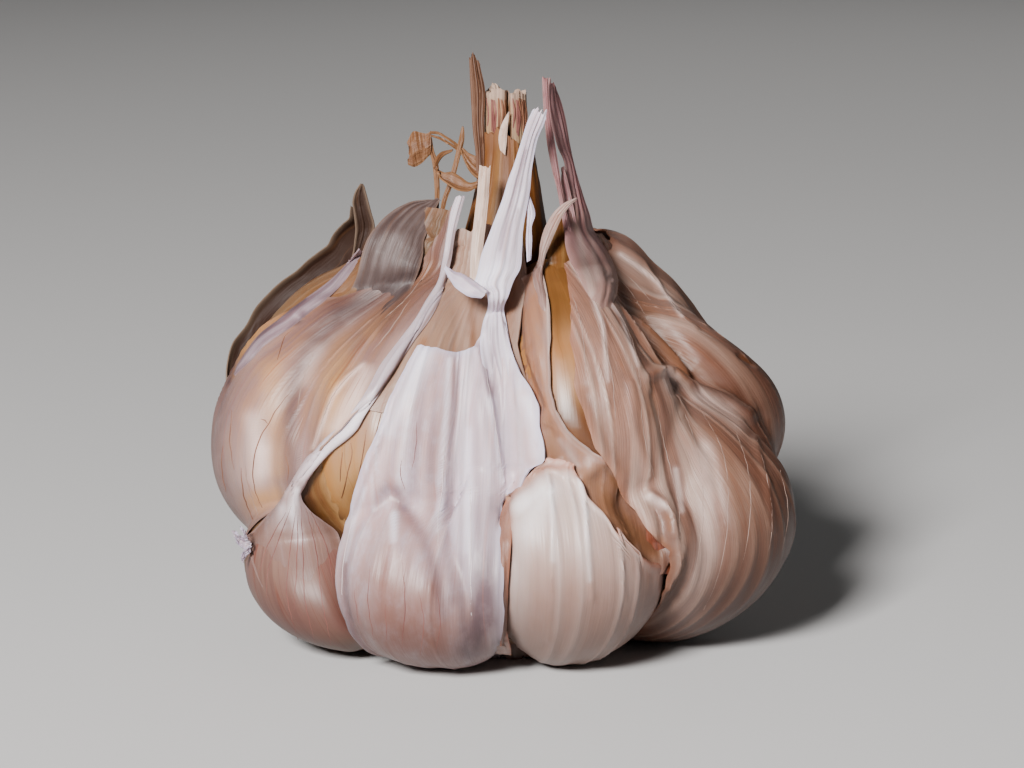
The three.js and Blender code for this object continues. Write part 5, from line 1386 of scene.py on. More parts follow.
bladeSpecs = {
    "upper_lobe": dict(
        left=[(336, 318), (343, 304), (350, 291), (356, 278), (360, 262), (363, 250), (368, 238), (375, 228),
              (383, 219), (391, 212), (400, 206), (409, 202), (424, 199.5), (437, 199)],
        right=[(390, 318), (400, 304), (411, 288), (419, 270), (423, 254), (424, 240), (428, 230), (431, 221),
               (434, 213), (436, 208), (438, 204), (439, 202), (440, 200.5), (440, 199.5)],
        depth=[(199, 0.2), (212, -0.6), (235, -2.0), (255, -2.7), (268, -2.9)],
        rightDepth=[(199, 0.0), (212, -1.2), (235, -2.6), (255, -3.6), (268, -4.3)], ease=26,
        on=["left_skin", "left_shoulder_skin"], lifts=[(0, -0.8), (0.12, -0.45), (0.24, 0.1), (0.34, 0.3), (1, 0.3)],
        smooth=8, rows=110, columns=34, arches=[(0, 0), (0.2, 0.02), (0.45, 0.14), (1, 0.1)], pleats=5, pleat=0.07,
        wave=0.14, torn=0, seed=21, finish="lobe", slot="skin", light=[[(386, 262, 0.3, 8), (400, 240, 0.3, 8)]],
        dark=[[(347, 275, 1.0, 5), (354, 279, 0.7, 5)], [(375, 240, 0.4, 8), (395, 218, 0.4, 7)],
              [(340, 308, 0.9, 13), (366, 298, 0.9, 13), (400, 286, 0.8, 13), (418, 276, 0.6, 10)]]),
    "hump_fill": dict(
        left=[(600, 264), (597, 252), (595, 240), (595, 233)],
        right=[(618, 262), (616, 252), (611, 243), (602, 235.5)],
        depth=[(233, 0.8), (246, 2.2), (258, 3.8), (266, 4.8)], rightDepth=[(233, 3.0), (245, 4.4), (264, 5.4)],
        rows=40, columns=30, arch=0.12, pleats=4, torn=0, seed=40, finish="right", slot="skin",
        dark=[[(594, 234, 0.9, 5), (600, 246, 1.0, 7), (606, 268, 1.0, 9)]]),
    "seam_strip": dict(
        left=[(234, 374), (237, 366), (243, 356), (257, 337), (280, 318), (305, 299), (330, 280), (348, 262),
              (359, 248)],
        right=[(235.5, 376), (241, 370), (251, 361), (266, 345), (288, 330), (312, 311), (337, 290), (353, 270),
               (363, 254)],
        depth=[(0, 0)], rows=110, columns=14, arch=0.12, pleats=2, pleat=0.03, waves=7, torn=0.1, seed=39, smooth=8,
        on=["left_skin", "left_shoulder_skin"], lifts=[(0, -0.1), (0.08, 0.1), (0.9, 0.1), (1, 0)], finish="seam",
        slot="skin",
        dark=[[(236, 374, 0.5, 3), (249, 363, 0.6, 2), (288, 330, 0.7, 2), (337, 290, 0.6, 2)],
              [(305, 299, 0.8, 1.6), (280, 318, 0.8, 1.6), (257, 337, 0.6, 1.6)]]),
    "upper_white_blade": dict(
        left=[(492, 424), (488, 396), (483, 368), (480, 344), (483, 322), (488, 306), (485, 291), (474, 286),
              (477, 274), (481, 256), (490, 232), (496, 216), (503, 197), (508, 180), (514, 164), (521, 142),
              (528, 120), (533.5, 108)],
        right=[(524, 420), (520, 394), (515, 368), (511, 346), (507, 324), (504, 308), (508, 297), (514, 280),
               (520, 269), (522, 250), (523, 230), (526, 212), (530, 190), (532, 168), (534, 156), (538, 138),
               (544, 124), (547.5, 114)],
        depth=[(108, -8.6), (150, -8.6), (190, -9.2), (220, -10.2), (250, -11.7), (270, -12.7), (292, -13.6),
               (300, -14)],
        rows=140, columns=24, arches=[(0, 0), (0.2, 0.02), (0.35, 0.1), (1, 0.14)], pleats=4, pleat=0.1, torn=0.35,
        tears=7, seed=1, on=["front_skin"],
        lifts=[(0, -0.5), (0.12, -0.12), (0.22, 0.12), (0.3, 0.3), (0.4, 0.7), (1, 0.7)], finish="front", slot="skin",
        light=[[(484, 282, 0.6, 8), (497, 268, 0.6, 9)]],
        dark=[[(493, 330, 0.5, 6), (494, 360, 0.7, 7), (502, 400, 0.7, 8)],
              [(538, 125, 0.3, 10), (522, 180, 0.4, 11), (508, 230, 0.35, 12), (500, 262, 0.2, 12)],
              [(526, 150, 0.5, 2), (512, 200, 0.5, 2), (500, 250, 0.4, 2)],
              [(518, 210, 0.5, 2), (514, 245, 0.5, 2), (506, 280, 0.4, 2)]]),
    "white_side_strip": dict(
        left=[(527, 262), (526, 240), (527, 220), (526, 205), (524, 192)],
        right=[(531, 260), (532, 240), (532, 225), (535, 216), (530, 196)],
        depth=[(190, -8.9), (215, -9.5), (262, -11.2)], rows=40, columns=6, arch=0.2, seed=2, finish="whiteBlade",
        slot="skin"),
    "thin_cream_strip": dict(
        left=[(470, 292), (470, 270), (471, 250), (474, 220), (477, 195), (479.5, 165.5)],
        right=[(481, 290), (481, 268), (483, 248), (487, 215), (489, 190), (490.5, 167)],
        depth=[(166, -7.0), (200, -7.6), (240, -8.6), (270, -9.8), (284, -10.5)], rows=60, columns=10, arch=0.08,
        torn=0.12, seed=3, lift=0.25, finish="creamBlade", slot="inner_skin"),
    "tail_tip": dict(
        left=[(538, 300), (534, 285), (533, 272), (538, 260), (540, 244), (545, 227), (554, 212), (564, 203),
              (575, 198)],
        right=[(550, 315), (546, 294), (542, 277), (545, 258), (552, 240), (558, 226), (564, 214), (571, 205),
               (577, 199.5)],
        depth=[(196, -7.6), (215, -7.9), (240, -8.8), (262, -9.3)], rows=60, columns=12, arch=0.18, torn=0.1, seed=4,
        lifts=[(0, -0.3), (0.12, -0.05), (0.3, 0.25), (1, 0.25)], on=["front_right_tail"], finish="tail", slot="skin",
        light=[[(545, 258, 0.6, 3), (556, 232, 0.6, 3), (570, 207, 0.5, 3)]]),
    "right_main_shard": dict(
        left=[(594, 314), (587, 295), (579, 277), (571, 262), (566, 247), (565, 228), (568, 205), (567, 182),
              (564, 160), (558, 147), (554, 134), (549.5, 116), (546.5, 96), (548, 84)],
        right=[(613, 314), (617, 295), (618, 277), (613, 261), (605, 246), (596, 234), (590, 214), (585, 200),
               (581, 186), (576, 168), (570, 142), (566, 120), (562, 104), (556, 87)],
        depth=[(84, -2.9), (120, -2.8), (160, -2.7), (185, -2.8), (205, -3.8), (225, -5.6), (245, -7.8), (262, -9.8)],
        rightDepth=[(84, -1.2), (120, -1.0), (160, -0.9), (185, -1.0), (205, -1.2), (225, -0.8), (242, 1.4),
                    (262, 2.6)],
        ease=24, rows=120, columns=22, arch=0.08, pleats=4, pleat=0.1, torn=0.9, tears=4, seed=5, on=["right_skin"],
        smooth=3, lifts=[(0, -0.5), (0.05, -0.3), (0.1, 0.0), (0.16, 0.15), (1, 0.2)], side="right",
        finish="pinkShard", slot="skin", warm=[(0, 1), (0.16, 0.9), (0.3, 0.4), (0.42, 0)],
        dark=[[(570, 196, 0.6, 3.5), (574, 214, 0.9, 4.5), (576, 230, 0.7, 4)]],
        light=[[(592, 292, 0.4, 4), (584, 262, 0.5, 4), (576, 225, 0.4, 4), (572, 190, 0.3, 3)],
               [(597, 280, 0.3, 3), (594, 250, 0.4, 3), (584, 212, 0.3, 3)]]),
    "gold_collar": dict(
        left=[(552, 280), (549, 268), (547, 256), (551, 240), (556, 222), (561, 206), (563.5, 194)],
        right=[(566, 278), (570, 268), (571, 256), (570, 240), (568, 222), (566.5, 206), (564.5, 194)],
        depth=[(194, -3.4), (222, -5.0), (240, -6.4), (258, -7.9)],
        rightDepth=[(194, -3.2), (222, -4.2), (240, -5.2), (258, -6.6)], ease=18, rows=60, columns=12, arch=0.12,
        pleats=2, pleat=0.03, torn=0.1, seed=35, smooth=6, lifts=[(0, -0.4), (0.2, -0.1), (0.4, 0.05), (1, 0.1)],
        on=["clove_inner_right"], finish="gold", slot="neck_skin",
        dark=[[(553, 262, 0.5, 4), (556, 240, 0.6, 4), (562, 212, 0.6, 4)]]),
    "seam_foot": dict(
        left=[(488, 652.5), (484, 648), (481, 642), (483, 634)],
        right=[(511, 656), (511, 650), (509, 642), (507, 630)],
        depth=[(628, -23.6), (642, -22.9), (650, -21.4), (660, -19.0)], rows=30, columns=20, arch=-0.04, wave=0.12,
        torn=0.1, seed=36, finish="frontRight", slot="skin",
        dark=[[(474, 646, 0.9, 2), (504, 641, 0.9, 2.5), (512, 640, 0.4, 3)]]),
    "pocket_shade": dict(
        left=[(345, 541), (326, 529), (308, 511), (300, 495), (304, 479), (314, 464)],
        right=[(351, 532), (345, 519), (337, 504), (331, 490), (328, 476), (331, 460)],
        depth=[(460, -15.2), (480, -14.9), (500, -14.4), (520, -13.3), (542, -12.6)],
        rightDepth=[(458, -15.8), (480, -15.2), (500, -14.4), (520, -13.3), (542, -12.7)], rows=50, columns=20,
        arch=-0.1, pleat=0.02, wave=0.05, torn=0, seed=37, finish="gold", slot="inner_skin",
        light=[[(330, 462, 1.0, 5), (328, 480, 1.0, 5), (332, 494, 1.0, 5), (341, 513, 1.0, 5), (349, 530, 1.0, 4)]],
        dark=[[(302, 480, 0.8, 7), (303, 498, 0.9, 9), (316, 516, 0.9, 8), (340, 536, 0.8, 7)],
              [(312, 466, 0.5, 6), (304, 480, 0.5, 8)]]),
    "seam_band": dict(
        left=[(500, 646), (501, 620), (501, 590), (500, 560), (499, 530), (501, 512), (507, 498)],
        right=[(506, 646), (507, 620), (508, 590), (510, 560), (512, 530), (512, 514), (514, 502)],
        depth=[(496, -19.4), (520, -21.1), (540, -23.6), (560, -24.8), (580, -25.4), (600, -25.5), (630, -24.4),
               (647, -22.6)],
        rightDepth=[(496, -18.6), (520, -22.6), (540, -23.9), (560, -24.8), (580, -25.0), (600, -24.9), (630, -23.2),
                    (647, -21.4)],
        rows=90, columns=10, arch=0.12, pleats=1, pleat=0.02, wave=0.06, torn=0.05, seed=38, finish="frontRight",
        slot="skin", warm=[(0, 0.3), (0.3, 0.5), (0.6, 0.75), (1, 0.75)],
        dark=[[(503, 500, 0.8, 5), (503, 560, 0.7, 4), (503, 645, 0.7, 3)]]),
    "right_thin_shard": dict(
        left=[(567, 250), (563, 225), (560, 206), (557, 190), (552, 170), (547, 144), (543.5, 110), (542, 78)],
        right=[(575, 250), (570, 225), (565, 205), (562, 188), (559, 168), (555.5, 146), (551, 118), (548, 78)],
        depth=[(78, -4.4), (110, -4.5), (150, -4.8), (200, -5.2), (235, -5.8)], rows=80, columns=8, arch=0.2,
        torn=0.2, seed=6, lift=0.1, side="right", finish="pinkShard", slot="skin"),
    "right_third_point": dict(
        left=[(570, 240), (566, 215), (563, 195), (561, 178), (562.5, 167)],
        right=[(580, 240), (575, 215), (571, 195), (567, 178), (563.5, 167)],
        depth=[(166, -3.6), (200, -3.9), (232, -4.4)], rows=40, columns=8, torn=0.1, seed=7, side="right",
        finish="pinkShard", slot="skin"),
    "tall_brown_shard": dict(
        left=[(478, 196), (476, 170), (475.5, 154), (473, 133), (471.5, 109), (470, 80), (469, 54)],
        right=[(488, 198), (485, 172), (485, 152), (484, 120), (485, 89), (481, 70), (477.5, 54)],
        depth=[(53, -0.4), (110, -0.9), (160, -1.6), (200, -2.6), (210, -3)], rows=80, columns=14, arch=0.2, pleats=5,
        pleat=0.06, torn=0.9, tears=2.2, seed=18, finish="brownShard", slot="neck_skin"),
    "stem_sliver": dict(
        left=[(500, 150), (498.5, 141), (501, 126), (506, 116), (508.5, 112)],
        right=[(505, 155), (506.5, 143), (507.5, 130), (508.6, 118), (509.3, 112)], depth=[(111, -2.5), (160, -3.1)],
        rows=24, columns=6, arch=0.1, torn=0.05, seed=9, finish="creamBlade", slot="stem"),
    "small_curl": dict(
        left=[(445, 269), (451, 280), (459, 290), (470, 296), (482, 297)],
        right=[(446, 267.5), (455, 273), (466, 277), (475, 283), (488, 292)],
        depth=[(266, -10.6), (280, -12.6), (292, -14.2), (298, -14.6)], rows=30, columns=10, arch=-0.35, torn=0.05,
        seed=10, finish="whiteBlade", slot="clove"),
    "left_strand": dict(
        left=[(424, 246), (431, 222), (434.5, 200), (434, 180), (432, 162), (428, 146), (428, 134)],
        right=[(432, 238), (437.5, 218), (439.5, 200), (439.5, 180), (438, 162), (434, 150), (432, 137)],
        depth=[(130, 1.1), (170, 0.9), (200, 0.4), (240, -1.2), (250, -1.6)], rows=60, columns=8, arch=0.2, torn=0.1,
        seed=11, finish="tanStrand", slot="skin"),
    "left_fan": dict(
        left=[(431, 154), (427, 158), (420, 164.5), (414, 167), (409.5, 165.5)],
        right=[(431, 131), (426.5, 133.5), (421, 132.5), (414, 131), (407, 142)], depth=[(130, 0.9), (168, 0.9)],
        rows=40, columns=12, arch=0.1, pleat=0.0, wave=0.12, waves=9, torn=0.25, tears=4, seed=12, finish="tanStrand",
        slot="skin"),
    "left_arc_upper": dict(
        left=[(430, 134), (438, 134.5), (446, 139), (456, 146.5), (464, 156), (476, 163)],
        right=[(430, 131), (438, 131.5), (447, 136.5), (458, 144), (466, 153), (478, 160)],
        depth=[(130, 1.0), (150, 0.3), (164, -0.6)], rows=40, columns=6, arch=0.3, torn=0.05, seed=13,
        finish="tanStrand", slot="skin"),
    "left_arc_lower": dict(
        left=[(431, 136.5), (440, 140), (449, 145), (457, 151), (466, 160)],
        right=[(431, 134.5), (441, 137.5), (450, 142.5), (459, 148.5), (468, 157)],
        depth=[(130, 1.2), (150, 0.6), (164, -0.3)], rows=30, columns=6, arch=0.3, torn=0.05, seed=14,
        finish="tanStrand", slot="skin"),
    "left_wide_flap": dict(
        left=[(460, 150), (464, 161), (470, 172), (477, 178), (488, 169)],
        right=[(463, 147.5), (470, 153.5), (480, 157.5), (487, 160.5), (491, 162.5)],
        depth=[(146, -0.3), (160, -1.2), (180, -2.6)], rows=36, columns=12, torn=0.1, seed=15, finish="tanStrand",
        slot="skin"),
    "left_upright_strand": dict(
        left=[(436, 236), (439, 220), (442, 200), (448, 182), (452, 168), (456, 152), (459.5, 136), (461.5, 127.5)],
        right=[(440, 232), (443, 218), (447, 200), (453, 184), (457, 170), (461, 154), (464.5, 138), (464, 127.5)],
        depth=[(127, 0.6), (160, 0.2), (200, -0.8), (236, -2.8)], rows=60, columns=8, arch=0.2, torn=0.15, seed=16,
        finish="tanStrand", slot="skin"),
    "left_ribbon": dict(
        left=[(452, 152), (443, 157), (438, 166), (439, 177), (448, 185), (458, 190.5), (470, 191), (477, 187)],
        right=[(453, 149), (440, 152.5), (434, 163), (444, 172), (452, 172), (461, 177), (470, 182.5), (477, 181)],
        depth=[(149, 0.2), (165, -0.8), (180, -2.4), (192, -3.4)], rows=70, columns=10, arch=0.25, torn=0.05, seed=17,
        finish="tanStrand", slot="skin"),
    "rolled_strip": dict(
        left=[(284, 622), (270, 600), (257, 576), (250, 553), (249, 540), (262, 522), (277, 505), (290, 487),
              (301, 469), (313, 452), (325, 438), (340, 425), (352, 411), (365, 392), (379, 366), (397, 342),
              (415, 318), (427, 298), (437, 282), (443, 256), (448, 226), (451, 210), (456, 196)],
        right=[(345, 620), (343, 596), (342, 572), (341, 548), (338, 532), (325, 520), (313, 509), (306, 496),
               (309, 482), (320, 465), (333, 451), (347, 440), (357, 430), (365, 416), (381, 392), (395, 370),
               (415, 340), (431, 318), (442, 296), (450, 266), (457, 226), (461, 212), (465, 196.5)],
        depth=[(194, -5.0), (215, -5.4), (240, -6.4), (256, -7.2)], rows=220, columns=30, pleats=2, pleat=0.04,
        wave=0.05, torn=0.12, seed=19, on=["left_skin", "clove_low_left", "clove_left", "clove_inner_left"],
        smooth=14, span=(545, 458), bow=0.25,
        lifts=[(0, -0.5), (0.1, -0.45), (0.2, -0.4), (0.28, -0.1), (0.38, 0.0), (0.45, -0.12), (0.7, -0.1),
               (0.85, 0.1), (1, 0.3)],
        rightLifts=[(0, -0.5), (0.1, -0.3), (0.2, -0.05), (0.3, 0.5), (0.45, 0.6), (0.6, 0.6), (1, 0.4)],
        arches=[(0, 0.04), (0.12, 0.05), (0.22, 0.05), (0.32, 0.15), (0.4, 0.18), (1, 0.22)],
        warm=[(0, 1), (0.2, 1), (0.27, 0.7), (0.36, 0.35), (0.5, 0)], finish="strip", slot="clove",
        light=[[(302, 478, 0.3, 3), (325, 450, 0.9, 5), (350, 428, 0.9, 5), (372, 395, 0.6, 4)],
               [(297, 490, 0.8, 3), (292, 512, 0.9, 5), (300, 540, 0.5, 5)],
               [(282, 508, 0.4, 5), (282, 526, 0.3, 5)]],
        dark=[[(306, 492, 0.8, 2.5), (320, 466, 0.6, 2), (333, 452, 0.8, 2), (357, 431, 0.8, 2), (381, 391, 0.8, 1.8),
               (415, 340, 0.8, 1.8), (442, 296, 0.8, 1.8), (456, 230, 0.6, 1.8)],
              [(250, 540, 0.6, 8), (262, 522, 0.5, 7), (280, 498, 0.4, 4)],
              [(312, 512, 0.4, 3), (326, 526, 0.5, 4), (336, 545, 0.5, 5)]]),
    "crumb_low": dict(
        left=[(249, 538), (243, 536), (237, 533), (233.5, 530.5)],
        right=[(249, 551), (243, 549), (238, 545), (235, 540)], depth=[(500, -12.0), (560, -12.0)], rows=24,
        columns=14, arch=0.3, pleat=0.12, wave=0.25, waves=3, torn=0.5, seed=31, finish="whiteBlade",
        slot="dry_skin"),
    "crumb_high": dict(
        left=[(249, 542), (244, 535), (242, 530), (240, 527.5)],
        right=[(251, 548), (247, 540), (246, 534), (244, 529)], depth=[(500, -12.6), (560, -12.6)], rows=24,
        columns=10, arch=0.25, pleat=0.1, wave=0.2, torn=0.5, tears=4, seed=32, finish="whiteBlade", slot="dry_skin"),
    "crumb_foot": dict(
        left=[(250, 545), (243, 551), (241, 556), (242, 558.5)],
        right=[(251, 552), (247, 556), (245.5, 558), (244, 559)], depth=[(500, -12.4), (570, -12.4)], rows=24,
        columns=10, arch=0.25, pleat=0.1, wave=0.2, torn=0.4, tears=4, seed=33, finish="whiteBlade", slot="dry_skin"),
    "hole_floor": dict(
        left=[(648, 574), (647, 552), (646, 528)], right=[(674, 574), (680, 552), (676, 528)], depth=[(0, 0)],
        rows=24, columns=16, arch=0, wave=0.15, torn=0, seed=34, on=[], lift=-1.6, finish="hole", slot="inner_skin"),
}
for name, spec in bladeSpecs.items():
    settle(makeBlade(name, spec), skinFinish[spec["finish"]], spec["slot"])
print("blades done")


# ---- the curled dry flap, from its root on the shoulder to its rim
flapSpec = {
    "root": [(236, 390, 5.5), (246, 372, 5.6), (258, 347, 5.8), (272, 324, 6.0), (289, 309, 6.0), (308, 300, 5.8),
             (326, 292, 5.4), (343, 280, 5.0), (358, 266, 4.6), (368, 254, 4.2)],
    "rim": [(226, 384, 5.4), (228, 369, 6.0), (235, 344, 6.8), (247, 328, 7.2), (257, 311, 7.4), (271, 296, 7.4),
            (285, 282, 7.2), (300, 271, 7.0), (312, 260, 6.8), (325, 250, 6.4), (331, 245, 6.2), (336, 234, 5.8),
            (345, 224, 5.2), (353, 217, 4.6), (354, 205, 4.2)],
    "rows": 90, "columns": 24, "cup": 0.16, "curl": 0.5, "wave": 0.16, "thickness": 0.16, "mapUp": 22,
}


def makeFlap(spec):
    v = np.linspace(0, 1, spec["rows"] + 1)
    u = np.linspace(0, 1, spec["columns"] + 1)
    root = throughRows([behindPixel(*row) for row in spec["root"]], v)
    rim = throughRows([behindPixel(*row) for row in spec["rim"]], v)
    grid = mix(rim[:, None, :], root[:, None, :], u[None, :, None])
    normal = unit(np.cross(np.gradient(grid, axis=1), np.gradient(grid, axis=0)))
    width = np.linalg.norm(rim - root, axis=1)[:, None]
    cupped = -spec["cup"] * width * (4 * u * (1 - u))[None, :]
    curl = spec["curl"] * smoothStep(1 - u, 0.86, 1.0)[None, :] + 0 * width
    waves = spec["wave"] * roughNoise(u[None, :] * 1.5, v[:, None] * 7, 91, 3)
    grid = grid + normal * (cupped + curl + waves)[..., None]
    uv = np.stack([u[None, :] * width, v[:, None] * spec["mapUp"] + 0 * u[None, :]], -1)
    rimMask = clampTo(1 - u[None, :] * width / rimWidth["flap"]) + 0 * v[:, None]
    return makeSheet("dry_flap", grid, spec["thickness"], uv, {"rim": rimMask, "rib": 0 * rimMask})


dryFlap = makeFlap(flapSpec)
settle(dryFlap, skinFinish["flap"], "dry_skin", "sheath_dry_flap")
flapTip = dict(
    left=[(352, 262), (355, 242), (356, 228), (354, 212), (353.5, 198), (357, 190), (361, 184)],
    right=[(362, 256), (368, 243), (372, 235), (374, 227), (371, 214), (368, 202), (363, 184)],
    depth=[(183, 3.4), (210, 3.2), (262, 3.4)], rows=50, columns=12, arch=-0.2, torn=0.05, seed=20)
settle(makeBlade("dry_flap_tip", flapTip), skinFinish["flap"], "dry_skin")


# ---- stem and neck
def makeTube(name, rings, uv, masks, closed=True):
    count = rings.shape[1]
    index = np.arange(rings.shape[0] * count).reshape(-1, count)
    after = np.roll(index, -1, 1)
    quads = np.stack([index[:-1], after[:-1], after[1:], index[1:]], -1).reshape(-1, 4).tolist()
    points = rings.reshape(-1, 3)
    if closed:
        quads += [index[0][::-1].tolist(), index[-1].tolist()]
    else:
        quads += np.stack([index[-1], after[-1], after[0], index[0]], -1).tolist()
    return makeObject(name, points, quads, uv, masks)


stemSpec = {
    "levels": [(5.1, 2.2), (30, 2.1), (42, 2.1), (48, 2.2), (51, 2.2), (54, 2.15), (55.8, 2.1)],
    "shift": [(5, 0), (42, 0), (50, 0.25), (56, 0.15)],
    "slitX": 0.35, "slitWidth": 0.3, "slitDepth": 1.3, "rows": 120, "columns": 150,
    "hollow": [(0.8, 0.02), (0.66, -0.5), (0.5, -1.4), (0.3, -1.7)],
}


def makeStem(spec):
    turn = np.linspace(0, 2 * math.pi, spec["columns"], endpoint=False)[None, :]
    up = np.concatenate([np.linspace(0, 0.72, 20), np.linspace(0.73, 1, spec["rows"])])[:, None]
    z = mix(spec["levels"][0][0], spec["levels"][-1][0], up)
    ridges = 0.10 * roughNoise(turn * 4.5, z / 9, 7, 3) + 0.05 * roughNoise(turn * 14, z / 5, 9, 2)
    radius = along(spec["levels"], z) + ridges
    x, y = radius * np.cos(turn), 0.92 * radius * np.sin(turn)
    slit = bump(x, spec["slitX"] - along(spec["shift"], z), spec["slitWidth"])
    y = y + slit * smoothStep(-y, 0.8, 1.4) * smoothStep(z, 50, 52) * spec["slitDepth"]
    fray = (0.5 * roughNoise(turn * 2.2, 0 * turn, 3, 4) + 0.25 * np.sin(3 * turn + 1)) * smoothStep(z, 53, 55.8)
    outside = np.stack([x + along(spec["shift"], z), y, z + fray], -1)
    rim = outside[-1:]
    middle = np.array([along(spec["shift"], 56), 0, 55.4])
    inside = [mix(middle, rim, share) + np.array([0, 0, drop]) for share, drop in spec["hollow"]]
    outerGrids["stem_stalk"] = np.concatenate([outside, outside[:, :1]], 1)
    rings = np.concatenate([outside] + inside)
    length = rings.shape[0]
    uv = np.stack([np.broadcast_to(turn * 2.2, (length, spec["columns"])), rings[..., 2]], -1)
    rimMask = smoothStep(rings[..., 2], 54.2, 55.6)
    rib = clampTo(roughNoise(turn * 6, 0 * turn, 5, 2) + 0 * rings[..., 2])
    return makeTube("stem_stalk", rings, uv, {"rim": rimMask, "rib": rib})


settle(makeStem(stemSpec), skinFinish["stem"], "stem", "stem")

neckSpec = {
    "levels": [(36.8, 5.2), (39, 4.9), (41, 4.4), (42.7, 4.0), (44.6, 3.6), (47.3, 3.1), (49.4, 2.75), (51.5, 2.6)],
    "shift": [(36, 0), (42, 0.2), (46, 0.4), (50, 0.5), (52, 0.4)],
    "rows": 90, "columns": 150,
}


def makeNeck(spec):
    turn = np.linspace(0, 2 * math.pi, spec["columns"], endpoint=False)[None, :]
    z = np.linspace(spec["levels"][0][0], spec["levels"][-1][0], spec["rows"])[:, None]
    pleats = 0.16 * roughNoise(turn * 2.4, z / 12, 17, 3) + 0.05 * roughNoise(turn * 11, z / 6, 19, 2)
    radius = along(spec["levels"], z) + pleats * smoothStep(z, 37, 40)
    torn = 1.2 * roughNoise(turn * 1.6, 0 * turn, 23, 4) * smoothStep(z, 46, 51.5)
    shift = along(spec["shift"], z)
    outside = np.stack([radius * np.cos(turn) + shift, radius * np.sin(turn), z + torn], -1)
    slim = (radius - 0.2) / radius
    inner = np.stack([radius * slim * np.cos(turn) + shift, radius * slim * np.sin(turn), z + torn], -1)[::-1]
    rings = np.concatenate([outside, inner])
    uv = np.stack([np.broadcast_to(turn * 3.2, rings.shape[:2]), rings[..., 2]], -1)
    rim = smoothStep(rings[..., 2] + 0 * turn, 49.5, 51.5)
    rib = clampTo(roughNoise(turn * 6, 0 * turn, 29, 2) + 0 * rings[..., 2])
    return makeTube("neck_wrap", rings, uv, {"rim": rim, "rib": rib}, closed=False)


settle(makeNeck(neckSpec), skinFinish["neck"], "neck_skin", "neck_sheath")
print("stem and neck done")


# ---- veins: fine lines along the skins, made by a node tree from paths drawn in the view
def addInput(tree, name, kind, value):
    socket = tree.interface.new_socket(name=name, in_out="INPUT", socket_type=kind)
    socket.default_value = value
    return socket


def applied(thing, tree, sizes):
    modifier = thing.modifiers.new("nodes", "NODES")
    modifier.node_group = tree
    for item in tree.interface.items_tree:
        if item.item_type == "SOCKET" and item.in_out == "INPUT" and item.name in sizes:
            modifier[item.identifier] = sizes[item.name]
    evaluated = thing.evaluated_get(bpy.context.evaluated_depsgraph_get())
    mesh = bpy.data.meshes.new_from_object(evaluated)
    result = bpy.data.objects.new(thing.name + "_made", mesh)
    bpy.context.scene.collection.objects.link(result)
    bpy.data.objects.remove(thing)
    return result


def veinTree(material):
    tree = bpy.data.node_groups.new("veins", "GeometryNodeTree")
    tree.interface.new_socket(name="Geometry", in_out="INPUT", socket_type="NodeSocketGeometry")
    addInput(tree, "Radius", "NodeSocketFloat", 0.0001)
    addInput(tree, "Spacing", "NodeSocketFloat", 0.0003)
    tree.interface.new_socket(name="Geometry", in_out="OUTPUT", socket_type="NodeSocketGeometry")
    nodes = Nodes(tree)
    inputs = tree.nodes.new("NodeGroupInput")
    given = {socket.name: Out(nodes, socket) for socket in inputs.outputs if socket.name}
    curve = nodes.add("GeometryNodeMeshToCurve", {}, {"Mesh": given["Geometry"]})
    curve = nodes.add("GeometryNodeResampleCurve", {"mode": "LENGTH"}, {"Curve": curve, "Length": given["Spacing"]})
    thick = nodes.add("GeometryNodeInputNamedAttribute", {"data_type": "FLOAT"}, {"Name": "thick"})
    profile = nodes.add("GeometryNodeCurvePrimitiveCircle", {}, {"Resolution": 6, "Radius": 1.0})
    sizes = {"Curve": curve, "Profile Curve": profile, "Scale": thick * given["Radius"], "Fill Caps": True}
    mesh = nodes.add("GeometryNodeCurveToMesh", {}, sizes)
    mesh = nodes.add("GeometryNodeSetShadeSmooth", {}, {"Geometry": mesh})
    mesh = nodes.add("GeometryNodeRealizeInstances", {}, {"Geometry": mesh})
    final = nodes.add("GeometryNodeSetMaterial", {}, {"Geometry": mesh, "Material": material})
    out = tree.nodes.new("NodeGroupOutput")
    tree.links.new(final.socket, out.inputs[0])
    return tree


def lineMaterial(name, colour, other, roughness):
    material, nodes = newMaterial(name)
    place = nodes.add("ShaderNodeTexCoord", {}, out=3)
    grain = nodes.noise(place, (700, 700, 400), detail=3.0)
    colour = nodes.mixed(grain.ramped(0.35, 0.65), colour, other)
    finishMaterial(nodes, colour, grain * 0.1 + roughness, grain, {"bump": 0.2})
    return material


# a vein has a point for so many pixels of the view, wanders by so many, and its rings are spaced in mm
veinLine = {"pixels": 3, "wander": 0.35, "spacing": 0.35}


def makeVeins(name, spec):
    points, edges, thick = [], [], []
    for path in spec["paths"]:
        rows = np.array(path, float)
        count = max(int(np.linalg.norm(np.diff(rows[:, :2], axis=0), axis=1).sum() / veinLine["pixels"]), 4)
        share = np.linspace(0, 1, count)
        for k, (px, py) in enumerate(throughRows(rows[:, :2], share)):
            wander = veinLine["wander"] * math.sin(k * 0.7 + px)
            if k:
                edges.append((len(points) - 1, len(points)))
            points.append(seenOn(px + wander, py, spec["on"], spec["lift"]))
            thick.append(0.25 + 0.75 * math.sin(math.pi * min(max(share[k], 0.04), 0.96)) ** 0.5)
    mesh = bpy.data.meshes.new(name)
    mesh.from_pydata((np.array(points) * metres).tolist(), edges, [])
    mesh.attributes.new("thick", "FLOAT", "POINT").data.foreach_set("value", thick)
    thing = bpy.data.objects.new(name, mesh)
    bpy.context.scene.collection.objects.link(thing)
    sizes = {"Radius": spec["radius"] * metres, "Spacing": veinLine["spacing"] * metres}
    made = applied(thing, veinTree(spec["material"]), sizes)
    made.name = name
    return made


